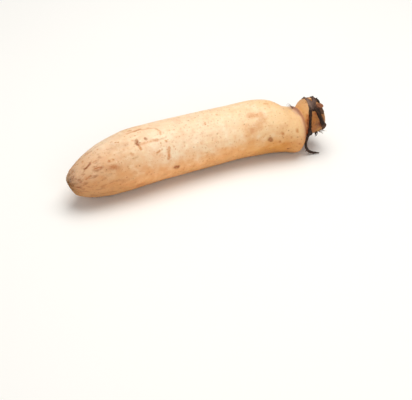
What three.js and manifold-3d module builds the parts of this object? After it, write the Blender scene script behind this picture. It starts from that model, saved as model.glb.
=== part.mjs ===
// A lotus root segment: one whole internode of the rhizome with its neck, the node beyond it, and the
// dried sheath and roots that ring the node. Millimetres, +Z up, X along the root towards the node.
import * as THREE from "three";
import { mergeVertices } from "three/addons/utils/BufferGeometryUtils.js";
import Module from "manifold-3d";

// Sections across the rhizome. Each is an ellipse: `at` is its place along X, y and z its centre, wide and
// tall its half width and half height. `lean` slants its top towards -X, `turn` its +Y side towards +X.
const SECTIONS = [
  { at: -126.66, y: -10.2, z: 24.9, wide: 5.9, tall: 6.2, lean: 0.12, turn: -0.1 },
  { at: -124.2, y: -9.5, z: 25, wide: 9, tall: 9.4, lean: 0.08, turn: -0.05 },
  { at: -117, y: -7.2, z: 25.3, wide: 15, tall: 15.5, lean: 0.02, turn: 0.05 },
  { at: -104, y: -4.6, z: 25.9, wide: 20.7, tall: 21.3, lean: 0, turn: 0.1 },
  { at: -86, y: -1.6, z: 26.1, wide: 24.9, tall: 25.2, lean: 0, turn: 0.08 },
  { at: -62, y: 0.6, z: 27.4, wide: 27.3, tall: 27.4, lean: 0, turn: 0.05 },
  { at: -32, y: 1.6, z: 27, wide: 27, tall: 27, lean: 0, turn: 0 },
  { at: 0, y: 1.8, z: 26.2, wide: 26.3, tall: 26.2, lean: 0, turn: 0 },
  { at: 35, y: 0.8, z: 25.8, wide: 26, tall: 25.8, lean: 0, turn: 0 },
  { at: 60, y: -2, z: 26.4, wide: 26.3, tall: 26.4, lean: 0, turn: 0 },
  { at: 75, y: -5.4, z: 26.1, wide: 25.6, tall: 26.1, lean: 0.02, turn: 0 },
  { at: 82, y: -8.3, z: 25, wide: 24.6, tall: 24.9, lean: 0.04, turn: 0 },
  { at: 88, y: -10.6, z: 23, wide: 23.4, tall: 22.8, lean: 0.05, turn: 0 },
  { at: 94, y: -12.2, z: 22.3, wide: 21.9, tall: 21.7, lean: 0.06, turn: 0 },
  { at: 98.6, y: -12.2, z: 22.8, wide: 18.2, tall: 21.2, lean: 0.06, turn: 0 },
  { at: 101.6, y: -12.4, z: 25.2, wide: 14.8, tall: 17.8, lean: 0.08, turn: 0 },
  { at: 103.6, y: -12.7, z: 27.2, wide: 14.6, tall: 16, lean: 0.12, turn: 0 },
  { at: 108, y: -12.7, z: 31, wide: 16.6, tall: 16.7, lean: 0.15, turn: 0 },
  { at: 113, y: -12.6, z: 32.7, wide: 17.2, tall: 17.2, lean: 0.1, turn: 0 },
  { at: 118, y: -12.6, z: 32.2, wide: 16.8, tall: 16.8, lean: 0.07, turn: 0 },
  { at: 121, y: -12.6, z: 31.3, wide: 15.2, tall: 15.6, lean: 0.05, turn: 0 },
  { at: 122.6, y: -12.6, z: 31, wide: 12.6, tall: 13.1, lean: 0.05, turn: 0 },
];
const BODY_STEP = 5; // between rings along the plump body
const NODE_STEP = 1.7; // between rings past NODE_FROM, where the shape turns quickly
const NODE_FROM = 88;
const END_RINGS = [0.9, 2.4]; // extra rings this far in from the broken end
const SIDES = 44; // round each ring

const FLAT_HEIGHT = 0.4; // how much of the rounded underside the resting flat takes off
const GROUND = { length: 400, width: 200, depth: 20 }; // a block under it, larger than the root
const SKIN_GAP = 0.35; // between the rhizome and the dried sheath on it
const WELD = 1e-4; // corners nearer than this are one

// Unevenness of the skin. `rise` is its height, `lobes` how many waves there are round the root, and
// `twist` how many millimetres along it turn them by a radian. at and reach say where a feature is.
const SWELLS = { rise: 0.28, lobes: 2, twist: 60, length: 107, shift: 22 };
const CHANNEL_RIBS = { rise: 0.16, lobes: 7, twist: 45 };
const RIBLESS = { at: 112, reach: 14 }; // the neck and the node, where the ribs fade
const SHOULDER_LIP = { at: 99.6, reach: 1.3, rise: 0.45, underneath: 0.2 }; // scar ring before the neck
const NODE_RIDGE = { at: 113, reach: 2.2, rise: 0.35, lobes: 5, twist: 190 };
const HEEL = { at: 92, reach: 6.5, angle: 235, arc: 35, rise: 1.5 }; // blunt lower front of the shoulder
const END_SCAR = { at: -127, reach: 9, rise: 0.55, lobes: 9, twist: 2 }; // puckered round the broken end

// Air channels, closed below the cut: `ring` is the distance of their axes from the middle of the face.
const STUB_PORES = { count: 8, ring: 7.4, radius: 1.7, depth: 7, sides: 8 };
const STUB_CORE_PORE = { count: 1, ring: 0, radius: 1, depth: 4, sides: 6 };
const SCAR_PORES = { count: 6, ring: 4.1, radius: 0.8, depth: 3, sides: 6 };
const PORE_TAPER = 0.8; // width at the closed end against the width of the cylinder's open end

// The leaf stalk's stump on the node, as a short cylinder square to the skin.
const STALK_STUMP = { at: 118.6, angle: 119, radius: 3.3, rise: 1.3, sunk: 6, sides: 14 };
const STUMP_TAPER = 0.85; // its top against its foot

// Dried sheath and roots. A route is a list of places on the skin: `at` along X and the angle round the
// section in degrees, 0 at +Y and 90 on top. half is half the strip's width, rise its height off the skin.
const COLLAR = {
  closed: true,
  steps: 64,
  route: [
    { at: 111.9, angle: 94, half: 1.5, rise: 1.3 },
    { at: 111.8, angle: 107, half: 2.2, rise: 1.3 },
    { at: 110.1, angle: 120, half: 1.7, rise: 1.3 },
    { at: 107.3, angle: 141, half: 1.3, rise: 1.3 },
    { at: 105.3, angle: 166, half: 1.3, rise: 1.3 },
    { at: 104.7, angle: 192, half: 1.5, rise: 1.2 },
    { at: 106.2, angle: 215, half: 1.2, rise: 1.1 },
    { at: 108.2, angle: 250, half: 1.1, rise: 1 },
    { at: 110.7, angle: 300, half: 1.2, rise: 1 },
    { at: 112.5, angle: 350, half: 1.2, rise: 1 },
    { at: 113.3, angle: 395, half: 1.1, rise: 1 },
    { at: 112.5, angle: 425, half: 1, rise: 1 },
    { at: 112, angle: 440, half: 1.1, rise: 1.4 },
  ],
};
const TONGUE = {
  steps: 22,
  route: [
    { at: 113.4, angle: 103, half: 1.7, rise: 1.2 },
    { at: 113.9, angle: 114, half: 1.8, rise: 1.4 },
    { at: 115.1, angle: 134, half: 1.4, rise: 1.4 },
    { at: 116.5, angle: 157, half: 1.4, rise: 1.6 },
    { at: 118.2, angle: 178, half: 1.9, rise: 2 },
    { at: 119, angle: 190, half: 2.2, rise: 2.2 },
    { at: 117.7, angle: 202, half: 1.5, rise: 1.6 },
    { at: 114.8, angle: 214, half: 0.9, rise: 1 },
    { at: 111.4, angle: 225, half: 0.9, rise: 1 },
    { at: 107.8, angle: 237, half: 0.9, rise: 1 },
  ],
};
const FLAKES = [
  // the peak on the crest, with the broad tear below it
  {
    steps: 14,
    route: [
      { at: 117.8, angle: 60, half: 0.9, rise: 0.8 },
      { at: 117.7, angle: 71, half: 1, rise: 1.3 },
      { at: 117.3, angle: 81, half: 1.1, rise: 2.8 },
      { at: 116.8, angle: 92, half: 1.7, rise: 1.9 },
      { at: 115.6, angle: 104, half: 1.9, rise: 1.5 },
      { at: 114.1, angle: 115, half: 1.4, rise: 1.3 },
    ],
  },
  // two leaves of it between the peak and the leaf stalk's stump
  {
    steps: 10,
    route: [
      { at: 119.2, angle: 70, half: 0.9, rise: 0.9 },
      { at: 118.9, angle: 83, half: 1.3, rise: 1.5 },
      { at: 118.6, angle: 94, half: 1.4, rise: 1.3 },
      { at: 117.9, angle: 103, half: 1.1, rise: 1 },
    ],
  },
  {
    steps: 10,
    route: [
      { at: 120.6, angle: 78, half: 0.9, rise: 0.9 },
      { at: 120.4, angle: 90, half: 1.3, rise: 1.7 },
      { at: 120, angle: 100, half: 1.5, rise: 1.6 },
      { at: 119.4, angle: 108, half: 1.1, rise: 1.1 },
    ],
  },
  // the apron below the stump
  {
    steps: 14,
    route: [
      { at: 113.1, angle: 123, half: 1.3, rise: 1.2 },
      { at: 114.8, angle: 131, half: 2.1, rise: 1.5 },
      { at: 117.1, angle: 137, half: 2.6, rise: 1.6 },
      { at: 119.5, angle: 140, half: 2.3, rise: 1.4 },
      { at: 121.2, angle: 143, half: 1.4, rise: 1 },
    ],
  },
];

// The long root: it leaves the collar on the front of the neck, hangs clear of the shoulder and lies on.
const LONG_ROOT = {
  sides: 8,
  steps: 28,
  radii: [1.35, 1.3, 1.2, 1.15, 1.2, 1.25, 1.5, 1.15, 0.55],
  route: [
    [105.8, -27.6, 28],
    [104.4, -28.5, 23.6],
    [102.6, -29, 18.5],
    [101.6, -29.2, 14],
    [101.8, -30, 9.2],
    [104.6, -30.4, 4.6],
    [108.4, -31.1, 2.5],
    [115, -33.4, 1.5],
  ],
};

// Short roots: thin and stiff, sloping away from the skin by up to these shares of their length.
const BRISTLE = {
  sides: 5,
  steps: 5,
  radius: 0.55,
  tip: 0.34,
  foot: 0.2, // height of its foot over the skin
  forward: { from: -0.3, to: 0.8 }, // slope along the root
  aside: { from: -0.8, to: 0.8 }, // slope round it
  bend: 0.18, // how far its tip curves to a side
  knots: [0, 0.4, 0.75, 1], // places along it that its curve is drawn through
  stand: { from: 0.2, to: 0.8 }, // where in its own share of the strip it may stand
  shortened: 0.45, // the least share of its full length
};
const COLLAR_TUFT = { count: 24, from: 226, to: 382, shortest: 3, longest: 6.5, seed: 11 };
const TONGUE_TUFT = { count: 5, from: 216, to: 226, shortest: 2.6, longest: 4, seed: 5 };

const SKIN_MATERIAL = { color: 0xecc793, roughness: 0.55, metalness: 0 };
const SHEATH_MATERIAL = { color: 0x3a2b24, roughness: 0.85, metalness: 0 };

const wasm = await Module();
wasm.setup();

// ---- numbers ----

function bump(x, { at, reach }) {
  return Math.exp(-(((x - at) / reach) ** 2));
}

// A repeatable stream of numbers from 0 to 1.
function seeded(seed) {
  let state = seed >>> 0;
  return () => {
    state = (state + 0x6d2b79f5) >>> 0;
    let mixed = Math.imul(state ^ (state >>> 15), state | 1);
    mixed ^= mixed + Math.imul(mixed ^ (mixed >>> 7), mixed | 61);
    return ((mixed ^ (mixed >>> 14)) >>> 0) / 4294967296;
  };
}

// A smooth curve through (knots[i].at, knots[i][key]) that never swings past its knots.
function curveThrough(knots, key) {
  const slopes = knots.slice(1).map((knot, i) => (knot[key] - knots[i][key]) / (knot.at - knots[i].at));
  const tangents = knots.map((_, i) => {
    if (i === 0) return slopes[0];
    if (i === knots.length - 1) return slopes[i - 1];
    const [before, after] = [slopes[i - 1], slopes[i]];
    return before * after <= 0 ? 0 : (2 * before * after) / (before + after);
  });
  return (x) => {
    let i = knots.findIndex((knot) => knot.at > x) - 1;
    if (i < 0) i = x < knots[0].at ? 0 : knots.length - 2;
    const span = knots[i + 1].at - knots[i].at;
    const t = THREE.MathUtils.clamp((x - knots[i].at) / span, 0, 1);
    const ends = (1 - t) ** 2 * (1 + 2 * t) * knots[i][key] + t ** 2 * (3 - 2 * t) * knots[i + 1][key];
    return ends + t * (1 - t) * span * ((1 - t) * tangents[i] - t * tangents[i + 1]);
  };
}

// ---- the rhizome's skin ----

const sectionCurve = Object.fromEntries(
  ["y", "z", "wide", "tall", "lean", "turn"].map((key) => [key, curveThrough(SECTIONS, key)]),
);

function lobed(at, theta, { lobes, twist }) {
  return Math.sin(lobes * theta + at / twist);
}

// Height of the skin over the plain ellipse: slow swells, low ribs over the air channels, the scar rings of
// the shoulder and the node, the shoulder's heel, and puckers round the broken end.
function relief(at, theta) {
  const { degToRad, euclideanModulo, lerp } = THREE.MathUtils;
  const phase = (2 * Math.PI * (at + SWELLS.shift)) / SWELLS.length;
  const swells = SWELLS.rise * Math.sin(phase) * lobed(at, theta, SWELLS);
  const ribs = CHANNEL_RIBS.rise * lobed(at, theta, CHANNEL_RIBS) * (1 - bump(at, RIBLESS));
  const upward = (1 + Math.sin(theta)) / 2;
  const lip = SHOULDER_LIP.rise * bump(at, SHOULDER_LIP) * lerp(SHOULDER_LIP.underneath, 1, upward);
  const ridge = NODE_RIDGE.rise * bump(at, NODE_RIDGE) * lobed(at, theta, NODE_RIDGE);
  const puckers = END_SCAR.rise * bump(at, END_SCAR) * lobed(at, theta, END_SCAR);
  const offHeel = euclideanModulo(theta - degToRad(HEEL.angle) + Math.PI, 2 * Math.PI) - Math.PI;
  const heel = HEEL.rise * bump(at, HEEL) * bump(offHeel, { at: 0, reach: degToRad(HEEL.arc) });
  return swells + ribs + lip + ridge + puckers + heel;
}

// A point of the skin, or one `lift` outside it.
function skinPoint(at, theta, lift = 0) {
  const rise = relief(at, theta) + lift;
  const y = (sectionCurve.wide(at) + rise) * Math.cos(theta);
  const z = (sectionCurve.tall(at) + rise) * Math.sin(theta);
  return new THREE.Vector3(
    at - sectionCurve.lean(at) * z + sectionCurve.turn(at) * y,
    sectionCurve.y(at) + y,
    sectionCurve.z(at) + z,
  );
}

function skinNormal(at, theta) {
  const [forward, turn] = [0.5, 0.02];
  const along = skinPoint(at + forward, theta).sub(skinPoint(at - forward, theta));
  const around = skinPoint(at, theta + turn).sub(skinPoint(at, theta - turn));
  return around.cross(along).normalize();
}

// ---- closed meshes ----

// One closed surface over rings with equally many points, with a point in the middle of each end face.
function loft(rings) {
  const sides = rings[0].length;
  const middle = (ring) => ring.reduce((sum, p) => sum.add(p), new THREE.Vector3()).divideScalar(sides);
  const points = [...rings.flat(), middle(rings[0]), middle(rings.at(-1))];
  const [startMiddle, endMiddle] = [points.length - 2, points.length - 1];
  const index = [];
  for (let j = 0; j < sides; j++) {
    const next = (j + 1) % sides;
    for (let i = 0; i < rings.length - 1; i++) {
      const [a, b] = [i * sides + j, i * sides + next];
      index.push(a, b, a + sides, b, b + sides, a + sides);
    }
    const last = (rings.length - 1) * sides;
    index.push(startMiddle, next, j, endMiddle, last + j, last + next);
  }
  return new THREE.BufferGeometry().setFromPoints(points).setIndex(index);
}

// The same for a closed loop of rings, which has no ends.
function loopLoft(rings) {
  const sides = rings[0].length;
  const index = [];
  rings.forEach((_, i) => {
    const [here, there] = [i * sides, ((i + 1) % rings.length) * sides];
    for (let j = 0; j < sides; j++) {
      const next = (j + 1) % sides;
      index.push(here + j, here + next, there + j, here + next, there + next, there + j);
    }
  });
  return new THREE.BufferGeometry().setFromPoints(rings.flat()).setIndex(index);
}

function toSolid(geometry) {
  const bare = geometry.clone();
  bare.deleteAttribute("normal");
  bare.deleteAttribute("uv");
  const merged = mergeVertices(bare, WELD);
  const solid = new wasm.Manifold(
    new wasm.Mesh({
      numProp: 3,
      vertProperties: new Float32Array(merged.attributes.position.array),
      triVerts: new Uint32Array(merged.index.array),
    }),
  );
  if (solid.volume() < 0) throw new Error("a piece is inside out");
  return solid;
}

function toGeometry(solid) {
  const mesh = solid.getMesh();
  const geometry = new THREE.BufferGeometry();
  geometry.setAttribute("position", new THREE.BufferAttribute(new Float32Array(mesh.vertProperties), 3));
  geometry.setIndex(new THREE.BufferAttribute(new Uint32Array(mesh.triVerts), 1));
  geometry.computeVertexNormals();
  return geometry;
}

function union(geometries) {
  return geometries.map(toSolid).reduce((whole, piece) => whole.add(piece));
}

// Cutting can shave off loose scraps, which are dropped.
function largestBody(solid) {
  return solid.decompose().reduce((best, body) => (body.volume() > best.volume() ? body : best));
}

// ---- the rhizome ----

function ringPlaces() {
  const places = [];
  const [first, last] = [SECTIONS[0].at, SECTIONS.at(-1).at];
  for (let at = first; at < last - NODE_STEP / 2; at += at < NODE_FROM ? BODY_STEP : NODE_STEP) {
    places.push(at);
  }
  places.splice(1, 0, ...END_RINGS.map((step) => first + step));
  return [...places, last];
}

function skinGeometry(lift = 0) {
  const ring = (at) =>
    Array.from({ length: SIDES }, (_, j) => skinPoint(at, (j / SIDES) * 2 * Math.PI, lift));
  const rings = ringPlaces().map(ring);
  const shift = (list, dx) => list.map((p) => p.clone().setX(p.x + dx));
  // A raised solid also stands proud of both end faces.
  if (lift) return loft([shift(rings[0], -lift), ...rings, shift(rings.at(-1), lift)]);
  return loft(rings);
}

// Blind holes in a ring, parallel to X, opening at `at` on the side that `facing` (1 or -1) points to.
function pores({ count, ring, radius, depth, sides }, at, facing) {
  return Array.from({ length: count }, (_, i) => {
    const angle = ((i + 0.5) / count) * 2 * Math.PI;
    const hole = new THREE.CylinderGeometry(radius, radius * PORE_TAPER, depth * 2, sides);
    hole.rotateZ((-facing * Math.PI) / 2);
    return hole.translate(
      at,
      sectionCurve.y(at) + ring * Math.cos(angle),
      sectionCurve.z(at) + ring * Math.sin(angle),
    );
  });
}

// The leaf stalk's stump, or a solid that stands `gap` proud of it.
function stalkStump(gap = 0) {
  const { at, angle, radius, rise, sunk, sides } = STALK_STUMP;
  const theta = THREE.MathUtils.degToRad(angle);
  const height = rise + sunk + gap;
  const stump = new THREE.CylinderGeometry(radius * STUMP_TAPER + gap, radius + gap, height, sides);
  stump.translate(0, height / 2 - sunk, 0);
  stump.applyQuaternion(
    new THREE.Quaternion().setFromUnitVectors(new THREE.Vector3(0, 1, 0), skinNormal(at, theta)),
  );
  const foot = skinPoint(at, theta);
  return stump.translate(foot.x, foot.y, foot.z);
}

function rhizomeGeometry() {
  const [leftEnd, rightEnd] = [SECTIONS[0].at, SECTIONS.at(-1).at];
  const holes = union([
    ...pores(STUB_PORES, rightEnd, 1),
    ...pores(STUB_CORE_PORE, rightEnd, 1),
    ...pores(SCAR_PORES, leftEnd, -1),
  ]);
  const { length, width, depth } = GROUND;
  const ground = new THREE.BoxGeometry(length, width, depth).translate(0, 0, FLAT_HEIGHT - depth / 2);
  const grown = union([skinGeometry(), stalkStump()]);
  return toGeometry(grown.subtract(holes).subtract(toSolid(ground)));
}

// ---- the dried sheath and roots ----

const CURVE_TENSION = 0.5;
const HEADING_STEP = 0.01; // share of a route over which its heading is measured

// A strip's outline, as shares of its half width and its rise: sunk edges and a rounded back.
const STRIP_OUTLINE = [
  [-1, -1],
  [-1, 0.5],
  [-0.6, 0.95],
  [0, 1.05],
  [0.6, 0.95],
  [1, 0.5],
  [1, -1],
];

// Reads a route: gives the place on the skin and the strip's size at any share of the way.
function routeReader({ route, closed = false }) {
  const { degToRad, euclideanModulo, clamp } = THREE.MathUtils;
  const curve = (read) =>
    new THREE.CatmullRomCurve3(
      route.map((knot) => new THREE.Vector3(...read(knot))),
      closed,
      "catmullrom",
      CURVE_TENSION,
    );
  const places = curve(({ at, angle }) => [at, Math.cos(degToRad(angle)), Math.sin(degToRad(angle))]);
  const sizes = curve(({ half, rise }) => [half, rise, 0]);
  return (share) => {
    const held = closed ? euclideanModulo(share, 1) : clamp(share, 0, 1);
    const [place, size] = [places.getPoint(held), sizes.getPoint(held)];
    return { at: place.x, theta: Math.atan2(place.z, place.y), half: size.x, rise: size.y };
  };
}

// Rings of the strip's outline, standing on the skin along its route.
function stripRings(strip) {
  const { steps, closed } = strip;
  const read = routeReader(strip);
  const footAt = (share) => {
    const { at, theta } = read(share);
    return skinPoint(at, theta);
  };
  return Array.from({ length: closed ? steps : steps + 1 }, (_, i) => {
    const share = i / steps;
    const here = read(share);
    const foot = footAt(share);
    const along = footAt(share + HEADING_STEP).sub(footAt(share - HEADING_STEP));
    const up = skinNormal(here.at, here.theta);
    const across = along.cross(up).normalize();
    return STRIP_OUTLINE.map(([side, height]) =>
      foot
        .clone()
        .addScaledVector(across, side * here.half)
        .addScaledVector(up, height * here.rise),
    );
  });
}

// A round root along a route of points, its radius easing through the listed radii.
function rootGeometry(route, radii, sides, steps) {
  const path = new THREE.CatmullRomCurve3(route);
  const frames = path.computeFrenetFrames(steps);
  const rings = Array.from({ length: steps + 1 }, (_, i) => {
    const share = i / steps;
    const slot = Math.min(share * (radii.length - 1), radii.length - 1 - 1e-6);
    const radius = THREE.MathUtils.lerp(radii[Math.floor(slot)], radii[Math.floor(slot) + 1], slot % 1);
    const centre = path.getPointAt(share);
    return Array.from({ length: sides }, (_, j) => {
      const turn = (j / sides) * 2 * Math.PI;
      return centre
        .clone()
        .addScaledVector(frames.normals[i], radius * Math.cos(turn))
        .addScaledVector(frames.binormals[i], radius * Math.sin(turn));
    });
  });
  return loft(rings);
}

// A short root from a place on the skin, sloping away from the skin's normal and curving a little.
function bristle({ at, theta }, length, random) {
  const between = ({ from, to }) => THREE.MathUtils.lerp(from, to, random());
  const normal = skinNormal(at, theta);
  const foot = skinPoint(at, theta, BRISTLE.foot);
  const axis = new THREE.Vector3(1, 0, 0);
  const round = new THREE.Vector3().crossVectors(axis, normal);
  const heading = normal
    .clone()
    .addScaledVector(axis, between(BRISTLE.forward))
    .addScaledVector(round, between(BRISTLE.aside))
    .normalize();
  const bend = between({ from: -BRISTLE.bend, to: BRISTLE.bend }) * length;
  const route = BRISTLE.knots.map((share) =>
    foot
      .clone()
      .addScaledVector(heading, share * length)
      .addScaledVector(round, share ** 2 * bend),
  );
  return rootGeometry(route, [BRISTLE.radius, BRISTLE.tip], BRISTLE.sides, BRISTLE.steps);
}

// Where a strip crosses an angle, in degrees, found between the knots of its route.
function crossing({ route }, angle) {
  const { degToRad, lerp } = THREE.MathUtils;
  const next = Math.max(
    1,
    route.findIndex((knot) => knot.angle > angle),
  );
  const [before, after] = [route[next - 1], route[next]];
  const share = (angle - before.angle) / (after.angle - before.angle);
  return { at: lerp(before.at, after.at, share), theta: degToRad(angle) };
}

// Bristles along a strip, spaced unevenly, longest on the underside.
function tuft(strip, { count, from, to, shortest, longest, seed }) {
  const { lerp } = THREE.MathUtils;
  const { stand, shortened } = BRISTLE;
  const random = seeded(seed);
  return Array.from({ length: count }, (_, i) => {
    const share = (i + lerp(stand.from, stand.to, random())) / count;
    const place = crossing(strip, lerp(from, to, share));
    const downward = (1 - Math.sin(place.theta)) / 2;
    const length = lerp(shortest, longest, downward * lerp(shortened, 1, random()));
    return bristle(place, length, random);
  });
}

function sheathGeometry() {
  const longRoot = rootGeometry(
    LONG_ROOT.route.map((p) => new THREE.Vector3(...p)),
    LONG_ROOT.radii,
    LONG_ROOT.sides,
    LONG_ROOT.steps,
  );
  const whole = union([
    loopLoft(stripRings(COLLAR)),
    ...[TONGUE, ...FLAKES].map((strip) => loft(stripRings(strip))),
    longRoot,
    ...tuft(COLLAR, COLLAR_TUFT),
    ...tuft(TONGUE, TONGUE_TUFT),
  ]);
  const clear = whole.subtract(union([skinGeometry(SKIN_GAP), stalkStump(SKIN_GAP)]));
  return toGeometry(largestBody(clear));
}

// ---- the part ----

function named(name, geometry, material) {
  const mesh = new THREE.Mesh(geometry, new THREE.MeshStandardMaterial(material));
  mesh.name = name;
  return mesh;
}

const segment = new THREE.Group();
segment.add(
  named("rhizome", rhizomeGeometry(), SKIN_MATERIAL),
  named("dried_sheath_and_roots", sheathGeometry(), SHEATH_MATERIAL),
);

// The origin is the middle of the outline on the surface that the root lies on.
const box = new THREE.Box3().setFromObject(segment);
segment.position.set(-(box.min.x + box.max.x) / 2, -(box.min.y + box.max.y) / 2, -box.min.z);

export default segment;
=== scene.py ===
"""Looks of a lotus root segment: its skin, both ends, its dried sheath and its roots.

The root lies along X with its node at +X. A place on its skin is given by `along`, millimetres
along X, and `angle`, degrees round the root: 0 at +Y, 90 on top, 180 at -Y. Sizes are millimetres;
meshes are written in metres.
"""

from __future__ import annotations

import logging
import math
import random
from collections.abc import Callable, Sequence
from dataclasses import dataclass
from enum import Enum
from typing import NamedTuple

import bmesh
import bpy
from mathutils import Matrix, Vector, noise
from mathutils.bvhtree import BVHTree


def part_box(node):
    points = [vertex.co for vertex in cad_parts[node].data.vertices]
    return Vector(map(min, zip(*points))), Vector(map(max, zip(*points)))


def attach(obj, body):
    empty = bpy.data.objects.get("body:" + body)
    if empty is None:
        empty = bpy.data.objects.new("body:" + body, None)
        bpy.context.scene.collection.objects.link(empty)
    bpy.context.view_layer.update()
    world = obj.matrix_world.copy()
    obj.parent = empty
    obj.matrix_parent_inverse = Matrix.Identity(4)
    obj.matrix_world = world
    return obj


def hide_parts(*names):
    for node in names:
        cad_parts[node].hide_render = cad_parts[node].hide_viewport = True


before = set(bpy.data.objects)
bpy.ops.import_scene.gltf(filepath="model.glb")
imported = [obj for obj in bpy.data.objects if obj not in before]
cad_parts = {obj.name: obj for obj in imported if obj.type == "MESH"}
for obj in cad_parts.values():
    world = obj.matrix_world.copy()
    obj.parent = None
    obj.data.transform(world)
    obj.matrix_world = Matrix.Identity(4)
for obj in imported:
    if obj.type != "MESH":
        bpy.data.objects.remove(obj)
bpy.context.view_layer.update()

LOG = logging.getLogger("lotus_root")
MM = 0.001
TURN = 2 * math.pi
BODY = "root"

Colour = tuple[float, float, float, float]
Stop = tuple[float, str]
Spot = tuple[float, float]  # `along` and `angle`


class Slot(Enum):
    """The record's material slots."""

    SKIN = "rhizome_skin"
    SHEATH = "dried_sheath"


class Node(Enum):
    """The CAD nodes that the pieces stand for."""

    RHIZOME = "rhizome"
    SHEATH = "dried_sheath_and_roots"


class Tone(Enum):
    """What a mark turns white skin into."""

    DARK = "AE8260"
    BROWN = "E0B893"
    PINK = "EDD6C4"
    GREY = "EFE5DD"


# ---- numbers ----


def hue(code: str) -> Colour:
    """Turns a screen colour into a linear one.

    Args:
        code: six hexadecimal digits, such as "F5DEB3".

    Returns:
        Linear red, green, blue and an alpha of 1.
    """
    parts = [int(code[i : i + 2], 16) / 255 for i in (0, 2, 4)]
    red, green, blue = (p / 12.92 if p <= 0.04045 else ((p + 0.055) / 1.055) ** 2.4 for p in parts)
    return (red, green, blue, 1.0)


def bell(x: float, at: float, reach: float) -> float:
    """1 at `at`, falling smoothly to nothing a few reaches away."""
    return math.exp(-(((x - at) / reach) ** 2))


def ease(low: float, high: float, x: float) -> float:
    """0 below low, 1 above high and smooth between them."""
    share = min(max((x - low) / (high - low), 0.0), 1.0)
    return share * share * (3 - 2 * share)


def spline(knots: Sequence[Vector], share: float) -> Vector:
    """A point on the smooth curve through the knots.

    Args:
        knots: what the curve passes, of any dimension.
        share: how far along the curve, 0 to 1.

    Returns:
        The point, of the knots' dimension.
    """
    place = min(max(share, 0.0), 1.0) * (len(knots) - 1)
    i = min(int(place), len(knots) - 2)
    t = place - i
    before, start = knots[max(i - 1, 0)], knots[i]
    end, after = knots[i + 1], knots[min(i + 2, len(knots) - 1)]
    bend = (before * 2 - start * 5 + end * 4 - after) * (t * t)
    twist = (start * 3 - before - end * 3 + after) * (t * t * t)
    return (start * 2 + (end - before) * t + bend + twist) * 0.5


def lengthwise(along: float, theta: float, stretch: float, count: float) -> Vector:
    """Where to read noise for folds along the root.

    Args:
        along: millimetres along the root.
        theta: radians round the root.
        stretch: how long the folds are, in millimetres.
        count: how closely they stand round the root.

    Returns:
        The place in the noise.
    """
    return Vector((along / stretch, math.cos(theta) * count, math.sin(theta) * count))


def ridged(place: Vector) -> float:
    """Noise with sharp crests at 1 and broad hollows at 0."""
    return 1 - abs(noise.noise(place))


# ---- places on the skin ----


class SkinMap:
    """Finds places on the rhizome by `along` and `angle`."""

    FAR = 70.0  # farther out than any skin
    STEP = 2.0
    MARGIN = 3.0  # the slanted ends, where a section isn't whole

    def __init__(self, node: Node) -> None:
        """Reads the node's solid.

        Args:
            node: the CAD node that holds the rhizome.
        """
        shell = bmesh.new()
        shell.from_mesh(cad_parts[node.value].data)
        bmesh.ops.remove_doubles(shell, verts=shell.verts, dist=1e-6)
        self.tree = BVHTree.FromBMesh(shell)
        shell.free()
        low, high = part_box(node.value)
        self.low, self.high = low / MM, high / MM
        self.start = self.low.x + self.MARGIN
        self.count = int((self.high.x - self.low.x - 2 * self.MARGIN) / self.STEP)
        self.middles = self._find_middles()

    def cast(self, middle: Vector, outward: Vector) -> Vector:
        """The outermost skin in a direction.

        Args:
            middle: a point inside the root.
            outward: the direction, of length 1.

        Returns:
            The place on the skin, looked at from outside.
        """
        hit = self.tree.ray_cast((middle + outward * self.FAR) * MM, -outward, self.FAR * MM)[0]
        if hit is None:
            raise ValueError(f"no skin is met from {tuple(middle)} towards {tuple(outward)}")
        return hit / MM

    def _find_middles(self) -> list[Vector]:
        """Walks from the thick of the root to both ends, keeping to the middle of its sections.

        Returns:
            The middles, a step apart.
        """
        centre = (self.low + self.high) / 2
        first = self.count // 2
        middles: list[Vector] = [centre] * (self.count + 1)
        for order in (range(first, self.count + 1), range(first, -1, -1)):
            here = centre.copy()
            for i in order:
                here.x = self.start + self.STEP * i
                for _ in range(2):
                    right, left = (self.cast(here, Vector((0, way, 0))) for way in (1, -1))
                    top, bottom = (self.cast(here, Vector((0, 0, way))) for way in (1, -1))
                    here.y, here.z = (right.y + left.y) / 2, (top.z + bottom.z) / 2
                middles[i] = here.copy()
        return middles

    def middle(self, along: float) -> Vector:
        """The middle of a section.

        Args:
            along: millimetres along the root.

        Returns:
            The place in millimetres.
        """
        place = (along - self.start) / self.STEP
        i = min(max(int(place), 0), self.count - 1)
        found = self.middles[i].lerp(self.middles[i + 1], min(max(place - i, 0.0), 1.0))
        found.x = along
        return found

    def angle_of(self, place: Vector) -> float:
        """The angle in radians at which a place lies round the root."""
        middle = self.middle(place.x)
        return math.atan2(place.z - middle.z, place.y - middle.y)

    def point(self, along: float, angle: float, lift: float = 0.0) -> Vector:
        """A place on the skin, or above it.

        Args:
            along: millimetres along the root.
            angle: degrees round the root.
            lift: height over the skin.

        Returns:
            The place in millimetres.
        """
        theta = math.radians(angle)
        found = self.cast(self.middle(along), Vector((0, math.cos(theta), math.sin(theta))))
        return found + self.normal(along, angle) * lift if lift else found

    def normal(self, along: float, angle: float) -> Vector:
        """The outward direction of the skin at a place.

        Args:
            along: millimetres along the root.
            angle: degrees round the root.

        Returns:
            The direction, of length 1.
        """
        around = self.point(along, angle + 3) - self.point(along, angle - 3)
        lengthwise = self.point(along + 0.8, angle) - self.point(along - 0.8, angle)
        return around.cross(lengthwise).normalized()

    def beside(self, along: float, angle: float, forward: float, aside: float) -> Spot:
        """The place a few millimetres from another.

        Args:
            along: where it starts, along the root.
            angle: where it starts, round the root.
            forward: millimetres along the root.
            aside: millimetres round the root.

        Returns:
            `along` and `angle` of the new place.
        """
        radius = max((self.point(along, angle) - self.middle(along)).length, 1.0)
        return along + forward, angle + math.degrees(aside / radius)


# ---- meshes ----


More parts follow.
